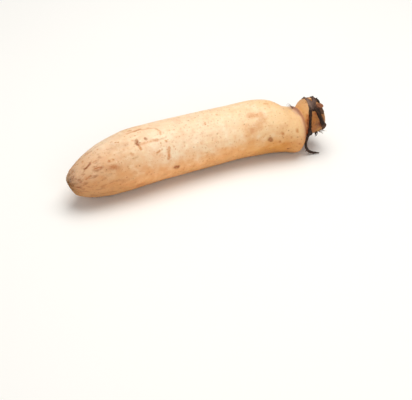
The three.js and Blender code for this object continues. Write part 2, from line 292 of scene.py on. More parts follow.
def rolled(rows: int, columns: int, place: Callable[[float, float], Vector]) -> bmesh.types.BMesh:
    """A grid rolled into a tube, with a UV map that runs once along it and once round it.

    Args:
        rows: faces along the tube.
        columns: faces round the tube.
        place: gives the point in millimetres for a share along and a share round, 0 to 1 each.

    Returns:
        The mesh, closed where its end rings shrink to a point or meet.
    """
    mesh = bmesh.new()
    mesh.loops.layers.uv.new("UVMap")
    bmesh.ops.create_grid(mesh, x_segments=rows, y_segments=columns, size=1.0, calc_uvs=True)
    for vert in mesh.verts:
        vert.co = place((vert.co.x + 1) / 2, (vert.co.y + 1) / 2) * MM
    bmesh.ops.remove_doubles(mesh, verts=mesh.verts, dist=2e-6)
    bmesh.ops.recalc_face_normals(mesh, faces=mesh.faces)
    return mesh


def strand(
    route: Sequence[Vector], radii: Sequence[float], rows: int, columns: int
) -> bmesh.types.BMesh:
    """A thin tube along a smooth route, closed at both ends.

    Args:
        route: the points that it passes, in millimetres.
        radii: its radius at even steps along it.
        rows: faces along it.
        columns: faces round it.

    Returns:
        The mesh.
    """
    sizes = [Vector((radius, 0)) for radius in radii]
    reference = Vector((0.31, 0.87, 0.17))

    def place(share: float, turn: float) -> Vector:
        """A point of the tube.

        Args:
            share: how far along, 0 to 1.
            turn: how far round, 0 to 1.

        Returns:
            The place in millimetres.
        """
        centre = spline(route, share)
        heading = (spline(route, share + 0.01) - spline(route, share - 0.01)).normalized()
        side = heading.cross(reference).normalized()
        up = side.cross(heading)
        closed = 0.0 if share in (0.0, 1.0) else 1.0
        radius = spline(sizes, share).x * closed
        theta = TURN * turn
        return centre + (side * math.cos(theta) + up * math.sin(theta)) * radius

    return rolled(rows, columns, place)


def merged(meshes: Sequence[bmesh.types.BMesh]) -> bmesh.types.BMesh:
    """Puts several closed meshes into one.

    Args:
        meshes: the meshes, which are freed.

    Returns:
        The one mesh.
    """
    whole = bmesh.new()
    for mesh in meshes:
        holder = bpy.data.meshes.new("holder")
        mesh.to_mesh(holder)
        mesh.free()
        whole.from_mesh(holder)
        bpy.data.meshes.remove(holder)
    return whole


def finished(
    name: str, mesh: bmesh.types.BMesh, materials: Sequence[bpy.types.Material]
) -> bpy.types.Object:
    """Makes an object of a mesh, shaded smooth.

    Args:
        name: the piece's name.
        mesh: its mesh in metres, which is freed.
        materials: its material slots in order.

    Returns:
        The object, linked to the scene.
    """
    for face in mesh.faces:
        face.smooth = True
    data = bpy.data.meshes.new(name)
    mesh.to_mesh(data)
    mesh.free()
    for material in materials:
        data.materials.append(material)
    piece = bpy.data.objects.new(name, data)
    bpy.context.scene.collection.objects.link(piece)
    return piece


def subdivide(piece: bpy.types.Object, levels: int) -> None:
    """Rounds a piece with a Subdivision Surface modifier and writes the result into its mesh.

    Args:
        piece: the piece.
        levels: how many times each face is split in four.
    """
    rounding = piece.modifiers.new("rounding", "SUBSURF")
    rounding.levels = rounding.render_levels = levels
    settle(piece)


def settle(piece: bpy.types.Object) -> None:
    """Writes a piece's modifiers into its mesh.

    Args:
        piece: the piece, whose modifiers then go.
    """
    graph = bpy.context.evaluated_depsgraph_get()
    shaped = bpy.data.meshes.new_from_object(piece.evaluated_get(graph), depsgraph=graph)
    old = piece.data
    piece.modifiers.clear()
    piece.data = shaped
    bpy.data.meshes.remove(old)
    shaped.name = piece.name


def raise_skin(piece: bpy.types.Object, height: Callable[[Vector], float]) -> None:
    """Moves every vertex along its normal.

    Args:
        piece: the piece, whose modifiers are already written into its mesh.
        height: gives the move in millimetres for a place in millimetres.
    """
    moves = [(vert, vert.normal * height(vert.co / MM)) for vert in piece.data.vertices]
    for vert, move in moves:
        vert.co += move * MM
    piece.data.update()


def hand_over(piece: bpy.types.Object, node: Node) -> None:
    """Rides the piece on the root, in place of its CAD node.

    Args:
        piece: the finished piece.
        node: the CAD node that it stands for.
    """
    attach(piece, BODY)
    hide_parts(node.value)
    LOG.info("%s: %d faces", piece.name, len(piece.data.polygons))


# ---- shader building ----


class Wire:
    """A shader socket that takes part in Python arithmetic."""

    def __init__(self, shader: Shader, socket: bpy.types.NodeSocket) -> None:
        """Wraps an output socket of a shader's node."""
        self.shader = shader
        self.socket = socket

    def _math(self, operation: str, *terms: Wire | float) -> Wire:
        """Adds one Math node."""
        return self.shader.wire("ShaderNodeMath", {"operation": operation}, dict(enumerate(terms)))

    def __add__(self, other: Wire | float) -> Wire:
        """self + other."""
        return self._math("ADD", self, other)

    __radd__ = __add__

    def __sub__(self, other: Wire | float) -> Wire:
        """self - other."""
        return self._math("SUBTRACT", self, other)

    def __rsub__(self, other: float) -> Wire:
        """other - self."""
        return self._math("SUBTRACT", other, self)

    def __mul__(self, other: Wire | float) -> Wire:
        """self * other."""
        return self._math("MULTIPLY", self, other)

    __rmul__ = __mul__

    def __truediv__(self, other: Wire | float) -> Wire:
        """self / other."""
        return self._math("DIVIDE", self, other)

    def most(self, other: Wire | float) -> Wire:
        """The larger of the two."""
        return self._math("MAXIMUM", self, other)

    def sine(self) -> Wire:
        """The sine of an angle in radians."""
        return self._math("SINE", self)

    def size(self) -> Wire:
        """The value without its sign."""
        return self._math("ABSOLUTE", self)

    def clamp(self) -> Wire:
        """The value kept between 0 and 1."""
        return self.shader.wire("ShaderNodeClamp", {}, {"Value": self})

    def ease(self, low: Wire | float, high: Wire | float) -> Wire:
        """0 below low, 1 above high and smooth between them.

        Args:
            low: where it begins to rise.
            high: where it reaches 1.

        Returns:
            The eased value.
        """
        settings = {"interpolation_type": "SMOOTHSTEP"}
        inputs = {"Value": self, "From Min": low, "From Max": high}
        return self.shader.wire("ShaderNodeMapRange", settings, inputs)

    def bell(self, at: float, reach: float) -> Wire:
        """1 at `at`, falling smoothly to 0 within a reach on both sides."""
        return 1 - (self - at).size().ease(0.0, reach)


class Shader:
    """One node material with a Principled surface."""

    def __init__(self, name: str, **sockets: float | Colour) -> None:
        """Makes the material.

        Args:
            name: the material's name.
            sockets: constant values of the Principled node, named with _ for each space.
        """
        self.material = bpy.data.materials.new(name)
        self.material.use_nodes = True
        self.tree = self.material.node_tree
        self.surface = self.tree.nodes["Principled BSDF"]
        for socket, value in sockets.items():
            self.surface.inputs[socket.replace("_", " ")].default_value = value

    def node(
        self, kind: str, settings: dict[str, object], inputs: dict[str | int, object]
    ) -> bpy.types.Node:
        """Adds a node.

        Args:
            kind: its type.
            settings: properties, which are set first.
            inputs: a value or a Wire for each named or numbered input.

        Returns:
            The node.
        """
        made = self.tree.nodes.new(kind)
        for name, value in settings.items():
            setattr(made, name, value)
        for key, value in inputs.items():
            if isinstance(value, Wire):
                self.tree.links.new(value.socket, made.inputs[key])
            else:
                made.inputs[key].default_value = value
        return made

    def wire(
        self,
        kind: str,
        settings: dict[str, object],
        inputs: dict[str | int, object],
        output: str | int = 0,
    ) -> Wire:
        """Adds a node and gives one of its outputs.

        Args:
            kind: its type.
            settings: properties, which are set first.
            inputs: a value or a Wire for each named or numbered input.
            output: the name or number of the output.

        Returns:
            The output.
        """
        return Wire(self, self.node(kind, settings, inputs).outputs[output])

    def feed(self, **sockets: Wire) -> None:
        """Links wires to the Principled node's inputs, named with _ for each space."""
        for socket, wire in sockets.items():
            self.tree.links.new(wire.socket, self.surface.inputs[socket.replace("_", " ")])

    def place(self) -> Wire:
        """Object coordinates in millimetres."""
        return self.scaled(self.wire("ShaderNodeTexCoord", {}, {}, "Object"), 1 / MM)

    def uv(self) -> Wire:
        """The piece's own UV map: the share along it and the share round it."""
        return self.wire("ShaderNodeUVMap", {"uv_map": "UVMap"}, {})

    def axes(self, vector: Wire) -> list[Wire]:
        """The three numbers of a vector."""
        parts = self.node("ShaderNodeSeparateXYZ", {}, {0: vector})
        return [Wire(self, output) for output in parts.outputs]

    def scaled(self, vector: object, factor: Wire | float) -> Wire:
        """A vector times a number."""
        scale = {"operation": "SCALE"}
        return self.wire("ShaderNodeVectorMath", scale, {0: vector, "Scale": factor})

    def vector(self, operation: str, first: object, second: object) -> Wire:
        """One Vector Math node with two vectors and a vector result."""
        return self.wire("ShaderNodeVectorMath", {"operation": operation}, {0: first, 1: second})

    def dot(self, first: object, second: Vector) -> Wire:
        """The dot product of two vectors.

        Args:
            first: a wire.
            second: a constant vector.

        Returns:
            The product.
        """
        operation = {"operation": "DOT_PRODUCT"}
        inputs = {0: first, 1: tuple(second)}
        return self.wire("ShaderNodeVectorMath", operation, inputs, "Value")

    def length(self, vector: Wire) -> Wire:
        """The length of a vector."""
        return self.wire("ShaderNodeVectorMath", {"operation": "LENGTH"}, {0: vector}, "Value")

    def noise(self, place: Wire, size: float, detail: float = 3.0, rough: float = 0.55) -> Wire:
        """Smooth noise of 0.3 to 0.7 with features of `size` millimetres."""
        inputs = {"Vector": place, "Scale": 1 / size, "Detail": detail, "Roughness": rough}
        return self.wire("ShaderNodeTexNoise", {}, inputs)

    def drawn_out(self, place: Wire, x: float, y: float, z: float) -> Wire:
        """A place for patterns that are this many times longer along each axis."""
        return self.vector("MULTIPLY", place, (1 / x, 1 / y, 1 / z))

    def shaken(self, place: Wire, size: float, reach: float) -> Wire:
        """A place moved about by noise, for edges that wander.

        Args:
            place: the place.
            size: how far apart the moves differ, in millimetres.
            reach: the largest move.

        Returns:
            The moved place.
        """
        inputs = {"Vector": place, "Scale": 1 / size, "Detail": 2.0}
        drift = self.wire("ShaderNodeTexNoise", {}, inputs, "Color")
        centred = self.vector("SUBTRACT", drift, (0.5, 0.5, 0.5))
        return self.vector("ADD", place, self.scaled(centred, 3 * reach))

    def specks(self, place: Wire, cell: float, radius: float, keep: float) -> Wire:
        """Scattered round dots.

        Args:
            place: where to look.
            cell: the usual distance between dots in millimetres.
            radius: the largest dot's radius.
            keep: the share of cells that have a dot.

        Returns:
            1 in a dot and 0 outside.
        """
        cells = self.node("ShaderNodeTexVoronoi", {}, {"Vector": place, "Scale": 1 / cell})
        gap = Wire(self, cells.outputs["Distance"]) * cell
        luck = self.node("ShaderNodeSeparateColor", {}, {0: Wire(self, cells.outputs["Color"])})
        size = (0.4 + 0.6 * Wire(self, luck.outputs[1])) * radius
        chosen = Wire(self, luck.outputs[0]).ease(0.98 - keep, 1 - keep)
        return (1 - (gap / size).ease(0.15, 1.0)) * chosen

    def stroke(self, place: Wire, start: Vector, end: Vector, width: float) -> Wire:
        """A line from start to end, or a spot where they are the same.

        Args:
            place: where to look.
            start: one end in millimetres.
            end: the other end.
            width: the full width of the line.

        Returns:
            1 in the middle of the line and 0 outside.
        """
        offset = self.vector("SUBTRACT", place, tuple(start))
        span = end - start
        if span.length > 0.1:
            share = (self.dot(offset, span) / span.length_squared).clamp()
            offset = self.vector("SUBTRACT", offset, self.scaled(tuple(span), share))
        return 1 - self.length(offset).ease(width * 0.1, width * 0.75)

    def mix(
        self, factor: Wire | float, first: Wire | Colour, second: Wire | Colour, blend: str = "MIX"
    ) -> Wire:
        """Blends two colours.

        Args:
            factor: 0 for the first, 1 for the second.
            first: the first colour.
            second: the second colour.
            blend: the Mix node's blend type.

        Returns:
            The blended colour.
        """
        settings = {"data_type": "RGBA", "blend_type": blend}
        return self.wire("ShaderNodeMix", settings, {0: factor, 6: first, 7: second}, 2)

    def paint(self, colour: Wire, mask: Wire | float, code: str) -> Wire:
        """Covers a colour with a screen colour where a mask is 1."""
        return self.mix(mask, colour, hue(code))

    def tint(self, colour: Wire, mask: Wire | float, code: str) -> Wire:
        """Multiplies a colour by a screen colour where a mask is 1."""
        return self.mix(mask, colour, hue(code), "MULTIPLY")

    def ramp(self, value: Wire, stops: Sequence[Stop]) -> Wire:
        """A colour that changes with a value.

        Args:
            value: the value.
            stops: values in rising order, each with its screen colour.

        Returns:
            The colour.
        """
        low, high = stops[0][0], stops[-1][0]
        inputs = {"Value": value, "From Min": low, "From Max": high}
        share = self.wire("ShaderNodeMapRange", {}, inputs)
        made = self.node("ShaderNodeValToRGB", {}, {0: share})
        elements = made.color_ramp.elements
        elements[0].color, elements[1].color = hue(stops[0][1]), hue(stops[-1][1])
        for at, code in stops[1:-1]:
            elements.new((at - low) / (high - low)).color = hue(code)
        return Wire(self, made.outputs[0])

    def relief(self, height: Wire, depth: float, under: Wire | None = None) -> Wire:
        """A normal for a relief.

        Args:
            height: its height, from 0 to 1.
            depth: how many millimetres 1 stands for.
            under: a normal that it is added to.

        Returns:
            The normal.
        """
        inputs = {"Height": height, "Distance": depth * MM}
        if under:
            inputs["Normal"] = under
        return self.wire("ShaderNodeBump", {}, inputs)


# ---- finishes ----


@dataclass(frozen=True)
class Mark:
    """A line, a dash or a spot on the skin: the places that it passes and its width."""

    route: tuple[Spot, ...]
    width: float
    tone: Tone

    def drawn(self, shader: Shader, skin: SkinMap, place: Wire) -> Wire:
        """1 in the mark and 0 outside.

        Args:
            shader: the skin's material.
            skin: the map of the skin.
            place: where to look.

        Returns:
            The mask.
        """
        spots = [skin.point(*spot) for spot in self.route]
        pairs = zip(spots, spots[1:] or spots, strict=False)
        mask, *others = (shader.stroke(place, start, end, self.width) for start, end in pairs)
        for other in others:
            mask = mask.most(other)
        return mask


FRONT_MARKS = (
    # the weathered third
    Mark(((-111, 119), (-105.2, 113)), 2.2, Tone.DARK),
    Mark(((-103.1, 130), (-96.8, 133)), 1.7, Tone.BROWN),
    Mark(((-111.4, 148), (-107.6, 142)), 2.0, Tone.BROWN),
    Mark(((-109.9, 92),), 2.4, Tone.BROWN),
    Mark(((-101.4, 115), (-99.4, 114)), 2.2, Tone.PINK),
    Mark(((-104, 132), (-101.4, 137)), 3.6, Tone.GREY),
    Mark(((-89.2, 128),), 2.7, Tone.BROWN),
    Mark(((-84.9, 129),), 2.0, Tone.BROWN),
    Mark(((-80.8, 88), (-80, 88)), 1.8, Tone.PINK),
    Mark(((-77.5, 94), (-74.7, 97)), 1.7, Tone.BROWN),
    Mark(((-81, 103), (-76, 108), (-70, 111)), 7.0, Tone.GREY),
    Mark(((-92, 140), (-87.6, 144), (-82, 147)), 6.5, Tone.GREY),
    Mark(((-88.5, 143), (-84, 144)), 4.6, Tone.PINK),
    Mark(((-67.9, 132), (-67, 135)), 2.6, Tone.PINK),
    Mark(((-66.4, 142), (-64, 141)), 2.6, Tone.GREY),
    # the scratched and peeled patch
    Mark(((-59.6, 111), (-60.1, 118)), 3.8, Tone.DARK),
    Mark(((-60.1, 120), (-58.6, 131)), 2.6, Tone.BROWN),
    Mark(((-59.1, 120), (-50, 120.5), (-41, 121)), 3.0, Tone.PINK),
    Mark(((-44, 121), (-32.9, 121)), 2.2, Tone.GREY),
    Mark(((-50.9, 112),), 3.2, Tone.DARK),
    Mark(((-64, 86), (-57, 85), (-50.6, 84)), 2.6, Tone.PINK),
    Mark(((-56.6, 84.5), (-50.6, 84)), 1.8, Tone.BROWN),
    Mark(((-49.5, 87), (-42.4, 89), (-37.8, 93), (-35, 103), (-36.2, 112)), 2.2, Tone.PINK),
    Mark(((-61.6, 78), (-58.2, 79)), 2.0, Tone.BROWN),
    Mark(((-63, 108),), 2.6, Tone.PINK),
    Mark(((-63.5, 121),), 2.2, Tone.PINK),
    Mark(((-32.6, 142), (-35.5, 162)), 2.8, Tone.BROWN),
    Mark(((-44.9, 145), (-41.6, 142)), 2.0, Tone.BROWN),
    Mark(((-39.1, 141),), 2.2, Tone.BROWN),
    Mark(((-33.8, 128),), 2.8, Tone.BROWN),
    Mark(((-39.3, 129),), 1.8, Tone.BROWN),
    Mark(((-29.3, 185), (-27, 187)), 4.0, Tone.DARK),
    # the blushed blotch and the spots of the plump end
    Mark(((51.3, 117), (57, 120), (61.6, 124)), 6.5, Tone.PINK),
    Mark(((60.6, 122), (61.6, 131)), 9.0, Tone.PINK),
    Mark(((60.8, 130), (56.1, 141), (48.9, 146)), 8.0, Tone.PINK),
    Mark(((70.2, 90), (73, 91)), 3.0, Tone.PINK),
    Mark(((64.6, 173), (65.6, 176)), 4.4, Tone.DARK),
    Mark(((77.2, 165), (76, 163)), 3.0, Tone.BROWN),
    Mark(((91.4, 149), (91.6, 153)), 3.2, Tone.BROWN),
    Mark(((84.4, 172),), 2.4, Tone.PINK),
    Mark(((74.4, 184),), 2.8, Tone.BROWN),
    Mark(((93, 186),), 3.2, Tone.BROWN),
    # the largest of the scattered spots
    Mark(((23.2, 93),), 2.4, Tone.PINK),
    Mark(((8.1, 112),), 2.6, Tone.PINK),
    Mark(((10.1, 145),), 2.2, Tone.GREY),
    Mark(((-17.4, 138),), 2.2, Tone.GREY),
    Mark(((17.9, 148),), 2.4, Tone.PINK),
    # painted shade beside the collar, between the strips and below the tongue, where the sheath
    # shades the skin
    Mark(((106.9, 135), (105.9, 150), (105.3, 166), (105.6, 180), (106.4, 190)), 2.8, Tone.DARK),
    Mark(((106.0, 127), (105.0, 137), (104.8, 142)), 3.0, Tone.BROWN),
    Mark(((112.2, 141), (113.6, 141)), 2.6, Tone.BROWN),
    Mark(((115.6, 176), (117.0, 186)), 3.2, Tone.DARK),
)


def back_marks(count: int, seed: int) -> list[Mark]:
    """Dashes and spots for the far side and the underside.

    Args:
        count: how many.
        seed: what the draws start from.

    Returns:
        The marks.
    """
    dice = random.Random(seed)
    marks = []
    for _ in range(count):
        along, angle = dice.uniform(-112, 90), dice.uniform(205, 428)
        reach, turn = dice.choice((0.0, 3.0, 7.0)), dice.uniform(-6, 6)
        tone = dice.choice((Tone.DARK, Tone.BROWN, Tone.BROWN, Tone.PINK))
        width = dice.uniform(1.1, 2.0) if tone is not Tone.PINK else dice.uniform(3, 6)
        marks.append(Mark(((along, angle), (along + reach, angle + turn)), width, tone))
    return marks


@dataclass(frozen=True)
class SkinPlace:
    """Where a point of the skin lies, and the patterns there that its colours share."""

    place: Wire
    wander: Wire  # the place moved about, for ragged edges
    along: Wire
    height: Wire
    facing_up: Wire
    facing_front: Wire
    cloud: Wire
    patch: Wire
    mottle: Wire
    streak: Wire
    past_shoulder: Wire
    past_collar: Wire
    weathered: Wire
    plump: Wire
    end: Wire

    @classmethod
    def read(cls, shader: Shader) -> SkinPlace:
        """Adds the nodes to the skin's material.

        Args:
            shader: the skin's material.

        Returns:
            The wires.
        """
        place = shader.place()
        along, _, height = shader.axes(place)
        turn = shader.axes(shader.uv())[1] * TURN
        facing_front = (turn - math.pi / 2).sine()
        collar_at = 113 - facing_front * 1.8 - facing_front.ease(0.2, 1.1) * 4.4
        return cls(
            place=place,
            wander=shader.shaken(place, 5.0, 0.9),
            along=along,
            height=height,
            facing_up=turn.sine(),
            facing_front=facing_front,
            cloud=shader.noise(place, 26.0, 3.0),
            patch=shader.noise(place, 9.0, 4.0),
            mottle=shader.noise(place, 4.6, 2.0),
            streak=shader.noise(shader.drawn_out(place, 12.0, 1.0, 1.0), 1.6, 4.0),
            past_shoulder=along.ease(90.0, 104.0),
            past_collar=(along - collar_at).ease(-0.6, 0.8),
            weathered=1 - along.ease(-112.0, -56.0),
            plump=along.ease(25.0, 75.0),
            end=1 - along.ease(-124.0, -112.0),
        )


@dataclass(frozen=True)
class SkinFinish:
    """The thin cream skin: pale in the middle, weathered at one end, brown at the node."""

    skin: SkinMap
    stops: tuple[Stop, ...] = (
        (-125, "BE9C7F"),
        (-120, "DCB28E"),
        (-114, "E2BA94"),
        (-100, "E4BC94"),
        (-84, "E7C096"),
        (-66, "EFCBA3"),
        (-40, "F6D7B4"),
        (0, "F8DCB9"),
        (50, "F8D8AD"),
        (76, "F5CF9E"),
        (93, "F0C58F"),
        (98, "EEC18C"),
        (100, "E9B98C"),
        (102.2, "D7A178"),
        (103.6, "CC8D5C"),
        (105.2, "DFA562"),
        (107.4, "ECB578"),
        (110, "DDA770"),
    )
    node_stops: tuple[Stop, ...] = (
        (108, "B47030"),
        (114, "A96B2E"),
        (119, "9C6436"),
        (122, "A8703E"),
        (125, "C0904F"),
    )
    # what is laid over the skin
    blush: str = "E4A97C"
    streaks: str = "C98F5E"
    # the skin's pale patches, and a faint painted highlight on its upper front
    pale_patches_and_highlight: str = "FFEED2"
    # painted highlight: the crest of the weathered third is painted paler, as if lit
    painted_top_highlight: str = "FFEBD0"
    # painted shade: the darkest, brownest colour, laid on the skin's lowest side
    underside: str = "A67C42"
    halo: str = "C4927A"
    ring: str = "B67F60"
    ring_core: str = "8A6049"
    grime: str = "6A5241"
    pale_folds: str = "C6A282"
    node_stain: str = "6E4423"
    # what the skin is multiplied by
    smears: str = "C39C80"
    warm_top: str = "FCF0E4"
    # painted shade: this colour and the next three darken and brown the skin where it faces down
    shade: str = "FBD4A6"
    weathered_shade: str = "F1D7B5"
    plump_shade: str = "E7BC74"
    neck_shade: str = "D89C60"
    pricks: str = "B08463"
    dots: str = "E0B99A"
    dust: str = "E6C2A4"
    lean: float = 0.10  # how much the zones slant past the shoulder
    ring_at: float = 101.8  # the scar ring at the sides
    ring_back: float = 2.0  # how much farther back it lies on top
    back_marks: int = 22
    # bare skin on the node: from, to, width, strength and colour
    bare: tuple[tuple[Spot, Spot, float, float, str], ...] = (
        ((115.6, 207), (119.4, 200), 4.6, 0.85, "BF8438"),
        ((115.4, 80), (117.2, 73), 3.4, 0.9, "EBB682"),
    )

    def _ground(self, shader: Shader, at: SkinPlace) -> Wire:
        """The skin's own colour from end to end, with its blushes, smears and paler patches, and a
        faint painted highlight on its upper front.

        Args:
            shader: the skin's material.
            at: where a point lies and the patterns there.

        Returns:
            The colour.
        """
        zone = at.along + (at.patch - 0.5) * 5 * (1 - at.past_shoulder)
        zone = zone + (at.height - 28) * self.lean * at.past_shoulder
        body, node = shader.ramp(zone, self.stops), shader.ramp(zone, self.node_stops)
        colour = shader.mix(at.past_collar, body, node)

        blush = at.cloud.ease(0.46, 0.66) * 0.26 + at.patch.ease(0.5, 0.72) * 0.24
        blush = blush * (at.weathered * 0.2 + 0.5) + at.mottle.ease(0.5, 0.72) * 0.24
        colour = shader.paint(colour, blush * (1 - at.past_shoulder), self.blush)
        colour = shader.paint(colour, at.streak.ease(0.52, 0.75) * 0.16, self.streaks)
        smear = shader.noise(shader.drawn_out(at.place, 2.6, 1.0, 1.0), 3.6, 3.0)
        colour = shader.tint(colour, smear.ease(0.5, 0.68) * at.weathered * 0.68, self.smears)

        paler = (1 - at.patch.ease(0.32, 0.5)) * 0.28 + (1 - at.mottle.ease(0.3, 0.48)) * 0.24
        paler = paler * at.along.ease(-112.0, -60.0) * (1 - at.along.ease(50.0, 90.0))
        # painted highlight: the upper front of the middle is painted a little paler, as if lit
        painted_front_highlight = at.facing_front.bell(0.55, 0.35) * at.along.ease(-90.0, -40.0)
        painted_front_highlight = painted_front_highlight * (1 - at.along.ease(-30.0, 0.0) * 0.8)
        return shader.paint(colour, paler + painted_front_highlight * 0.08, self.pale_patches_and_highlight)

    def _shaded(self, shader: Shader, at: SkinPlace, colour: Wire) -> Wire:
        """Paints light and shade by which way the skin faces: a painted highlight on the weathered
        crest, a warmer top, and painted shade darkening the lower side.

        Args:
            shader: the skin's material.
            at: where a point lies and the patterns there.
            colour: the colour under it.

        Returns:
            The shaded colour.
        """
        over_top = 1 - at.facing_front.ease(-0.2, 0.5)
        warm_top = over_top * at.along.ease(-70.0, -30.0) * (1 - at.past_shoulder)
        colour = shader.tint(colour, warm_top * (0.25 - at.plump * 0.2), self.warm_top)
        # painted highlight: paler where the weathered third faces up and back, as if lit
        painted_top_highlight = over_top * at.facing_up.ease(0.1, 0.8) * at.along.bell(-86.0, 26.0)
        colour = shader.paint(colour, painted_top_highlight * 0.42, self.painted_top_highlight)

        # painted shade: the skin turns darker and browner as it faces down
        drift = (at.cloud - 0.5) * 0.9 + (at.patch - 0.5) * 0.7
        facing_down = at.weathered * 0.4 - at.facing_up + drift - at.plump * 0.07
        shade = shader.mix(at.weathered, hue(self.shade), hue(self.weathered_shade))
        shade = shader.mix(at.plump, shade, hue(self.plump_shade))
        shaded = facing_down.ease(-0.85, 0.35) * (1 - at.past_collar * 0.7)
        shaded = shaded * (1 - at.along.bell(92.0, 14.0) * 0.25)
        colour = shader.mix(shaded, colour, shade, "MULTIPLY")
        # painted shade: the neck is painted darker where it faces down
        on_neck = at.along.ease(101.5, 104.5) * (1 - at.past_collar)
        colour = shader.tint(colour, on_neck * facing_down.ease(-1.0, 0.1) * 0.75, self.neck_shade)
        # painted shade: the lowest side is painted darker and browner still
        lowest = facing_down.ease(0.1, 1.2) * (0.62 - at.weathered * 0.24 + at.plump * 0.13)
        return shader.paint(colour, lowest, self.underside)

    def _ringed(self, shader: Shader, at: SkinPlace, colour: Wire) -> Wire:
        """Draws the scar ring at the shoulder and the bare patches of the node on a colour.

        Args:
            shader: the skin's material.
            at: where a point lies and the patterns there.
            colour: the colour under it.

        Returns:
            The colour with them.
        """
        on_top = at.facing_up.ease(0.86, 1.0)
        offset = at.along - (self.ring_at - self.ring_back * on_top + (at.patch - 0.5) * 3)
        ring = 1 - offset.size().ease(0.6, 2.6 + 1.3 * on_top)
        ring = ring * (0.2 + 0.6 * at.facing_up.ease(0.45, 0.95) + 0.15 * on_top)
        halo = 1 - (offset + 2.6).size().ease(0.4, 4.2)
        colour = shader.paint(colour, halo * on_top * 0.6, self.halo)
        colour = shader.paint(colour, ring, self.ring)
        colour = shader.paint(colour, ring * ring * on_top * 0.6, self.ring_core)
        for start, end, width, strength, code in self.bare:
            ends = self.skin.point(*start), self.skin.point(*end)
            colour = shader.paint(colour, shader.stroke(at.wander, *ends, width) * strength, code)
        return colour

    def _marked(self, shader: Shader, at: SkinPlace) -> dict[Tone, Wire]:
        """One mask for all marks of each tone.

        Args:
            shader: the skin's material.
            at: where a point lies and the patterns there.

        Returns:
            The masks, 1 in a mark and 0 outside.
        """
        marked: dict[Tone, Wire] = {}
        for mark in (*FRONT_MARKS, *back_marks(self.back_marks, seed=8)):
            mask = mark.drawn(shader, self.skin, at.wander)
            marked[mark.tone] = marked[mark.tone].most(mask) if mark.tone in marked else mask
        return marked

    def build(self) -> bpy.types.Material:
        """Makes the material.

        Returns:
            The material, which reads Object coordinates and the UV map's share round the root.
        """
        shader = Shader(
            "cream_skin",
            Subsurface_Weight=0.12,
            Subsurface_Radius=(1.0, 0.42, 0.18),
            Subsurface_Scale=0.003,
            IOR=1.42,
        )
        at = SkinPlace.read(shader)
        colour = self._ringed(shader, at, self._shaded(shader, at, self._ground(shader, at)))

        spread = shader.noise(at.place, 17.0, 2.0).ease(0.36, 0.56) * (1 - at.past_shoulder * 0.6)
        dots = shader.specks(at.place, 3.3, 1.5, 0.85) * (0.35 + 0.65 * spread)
        dust = shader.specks(at.place, 1.9, 0.72, 0.8)
        pricks = shader.specks(at.place, 4.4, 1.0, 0.5) * (1 - at.past_shoulder)
        colour = shader.tint(colour, pricks * 0.8, self.pricks)
        colour = shader.tint(colour, dots * 0.65, self.dots)
        colour = shader.tint(colour, dust * 0.60, self.dust)
        marked = self._marked(shader, at)
        torn = shader.noise(at.place, 1.5, 3.0).ease(0.4, 0.55) * 0.3 + 0.7
        for tone, mask in marked.items():
            colour = shader.tint(colour, mask * torn, tone.value)

        around = {0: at.along * 0.22, 1: at.facing_front * 8, 2: at.facing_up * 8}
        folds = shader.noise(shader.wire("ShaderNodeCombineXYZ", {}, around), 1.5, 4.0, 0.65)
        colour = shader.paint(colour, at.end * folds.ease(0.42, 0.66) * 0.34, self.grime)
        colour = shader.paint(colour, at.end * (1 - folds.ease(0.36, 0.5)) * 0.12, self.pale_folds)
        stain = at.along.ease(104.0, 112.0) * shader.noise(at.wander, 3.5, 4.0).ease(0.5, 0.68)
        colour = shader.paint(colour, stain * 0.55, self.node_stain)

        grain = shader.noise(at.place, 0.7, 4.0, 0.65)
        dents = 1 - (dots * 0.15).most(marked[Tone.DARK] * 0.7).most(dust * 0.1)
        coarse = shader.relief(at.patch * 0.5 + at.streak * 0.5, 0.35)
        fine = shader.relief(grain * 0.35 + dents * 0.65, 0.11, coarse)
        wrinkled = shader.relief(folds * (at.end * 0.9 + 0.1), 0.9, fine)
        rough = 0.40 + grain * 0.22 + at.end * 0.25 + marked[Tone.DARK] * 0.15
        shader.feed(Base_Color=colour, Roughness=rough, Normal=wrinkled)
        return shader.material


@dataclass(frozen=True)
class FleshFinish:
    """The dried cut across the node, and the walls of the air channels in both ends."""

    face: float = 124.8
    middle: tuple[float, float, float] = (124.8, -9.6, 30.6)
    radius: float = 12.6
    channel: float = 6.0  # how far into a channel its wall is painted darker, as shade
    pale: str = "D9B27C"
    tan: str = "B98850"
    fibres: str = "8A5A32"
    rim: str = "6F4526"
    painted_channel_shade: str = "3A2314"

    def build(self) -> bpy.types.Material:
        """Makes the material.

        Returns:
            The material, which reads Object coordinates.
        """
        shader = Shader("cut_flesh", Subsurface_Weight=0.1, Subsurface_Scale=0.002)
        place = shader.place()
        along, _, _ = shader.axes(place)
        offset = shader.vector("SUBTRACT", place, self.middle)
        from_axis = shader.length(shader.drawn_out(offset, 1000.0, 1.0, 1.0))
        rim = (from_axis / self.radius).ease(0.72, 1.0)
        # painted shade: the channels' walls turn darker the deeper they go
        depth = 1 - (along.size() - (self.face - self.channel)).ease(0.0, self.channel)
        fibre = shader.noise(place, 0.9, 5.0, 0.7)
        mottle = shader.noise(place, 4.0, 3.0)
        colour = shader.mix(mottle.ease(0.35, 0.65), hue(self.pale), hue(self.tan))
        colour = shader.paint(colour, fibre.ease(0.5, 0.75) * 0.45, self.fibres)
        colour = shader.paint(colour, rim * 0.7, self.rim)
        colour = shader.paint(colour, depth * 0.85, self.painted_channel_shade)
        normal = shader.relief(fibre, 0.35)
        shader.feed(Base_Color=colour, Roughness=0.55 + fibre * 0.3, Normal=normal)
        return shader.material


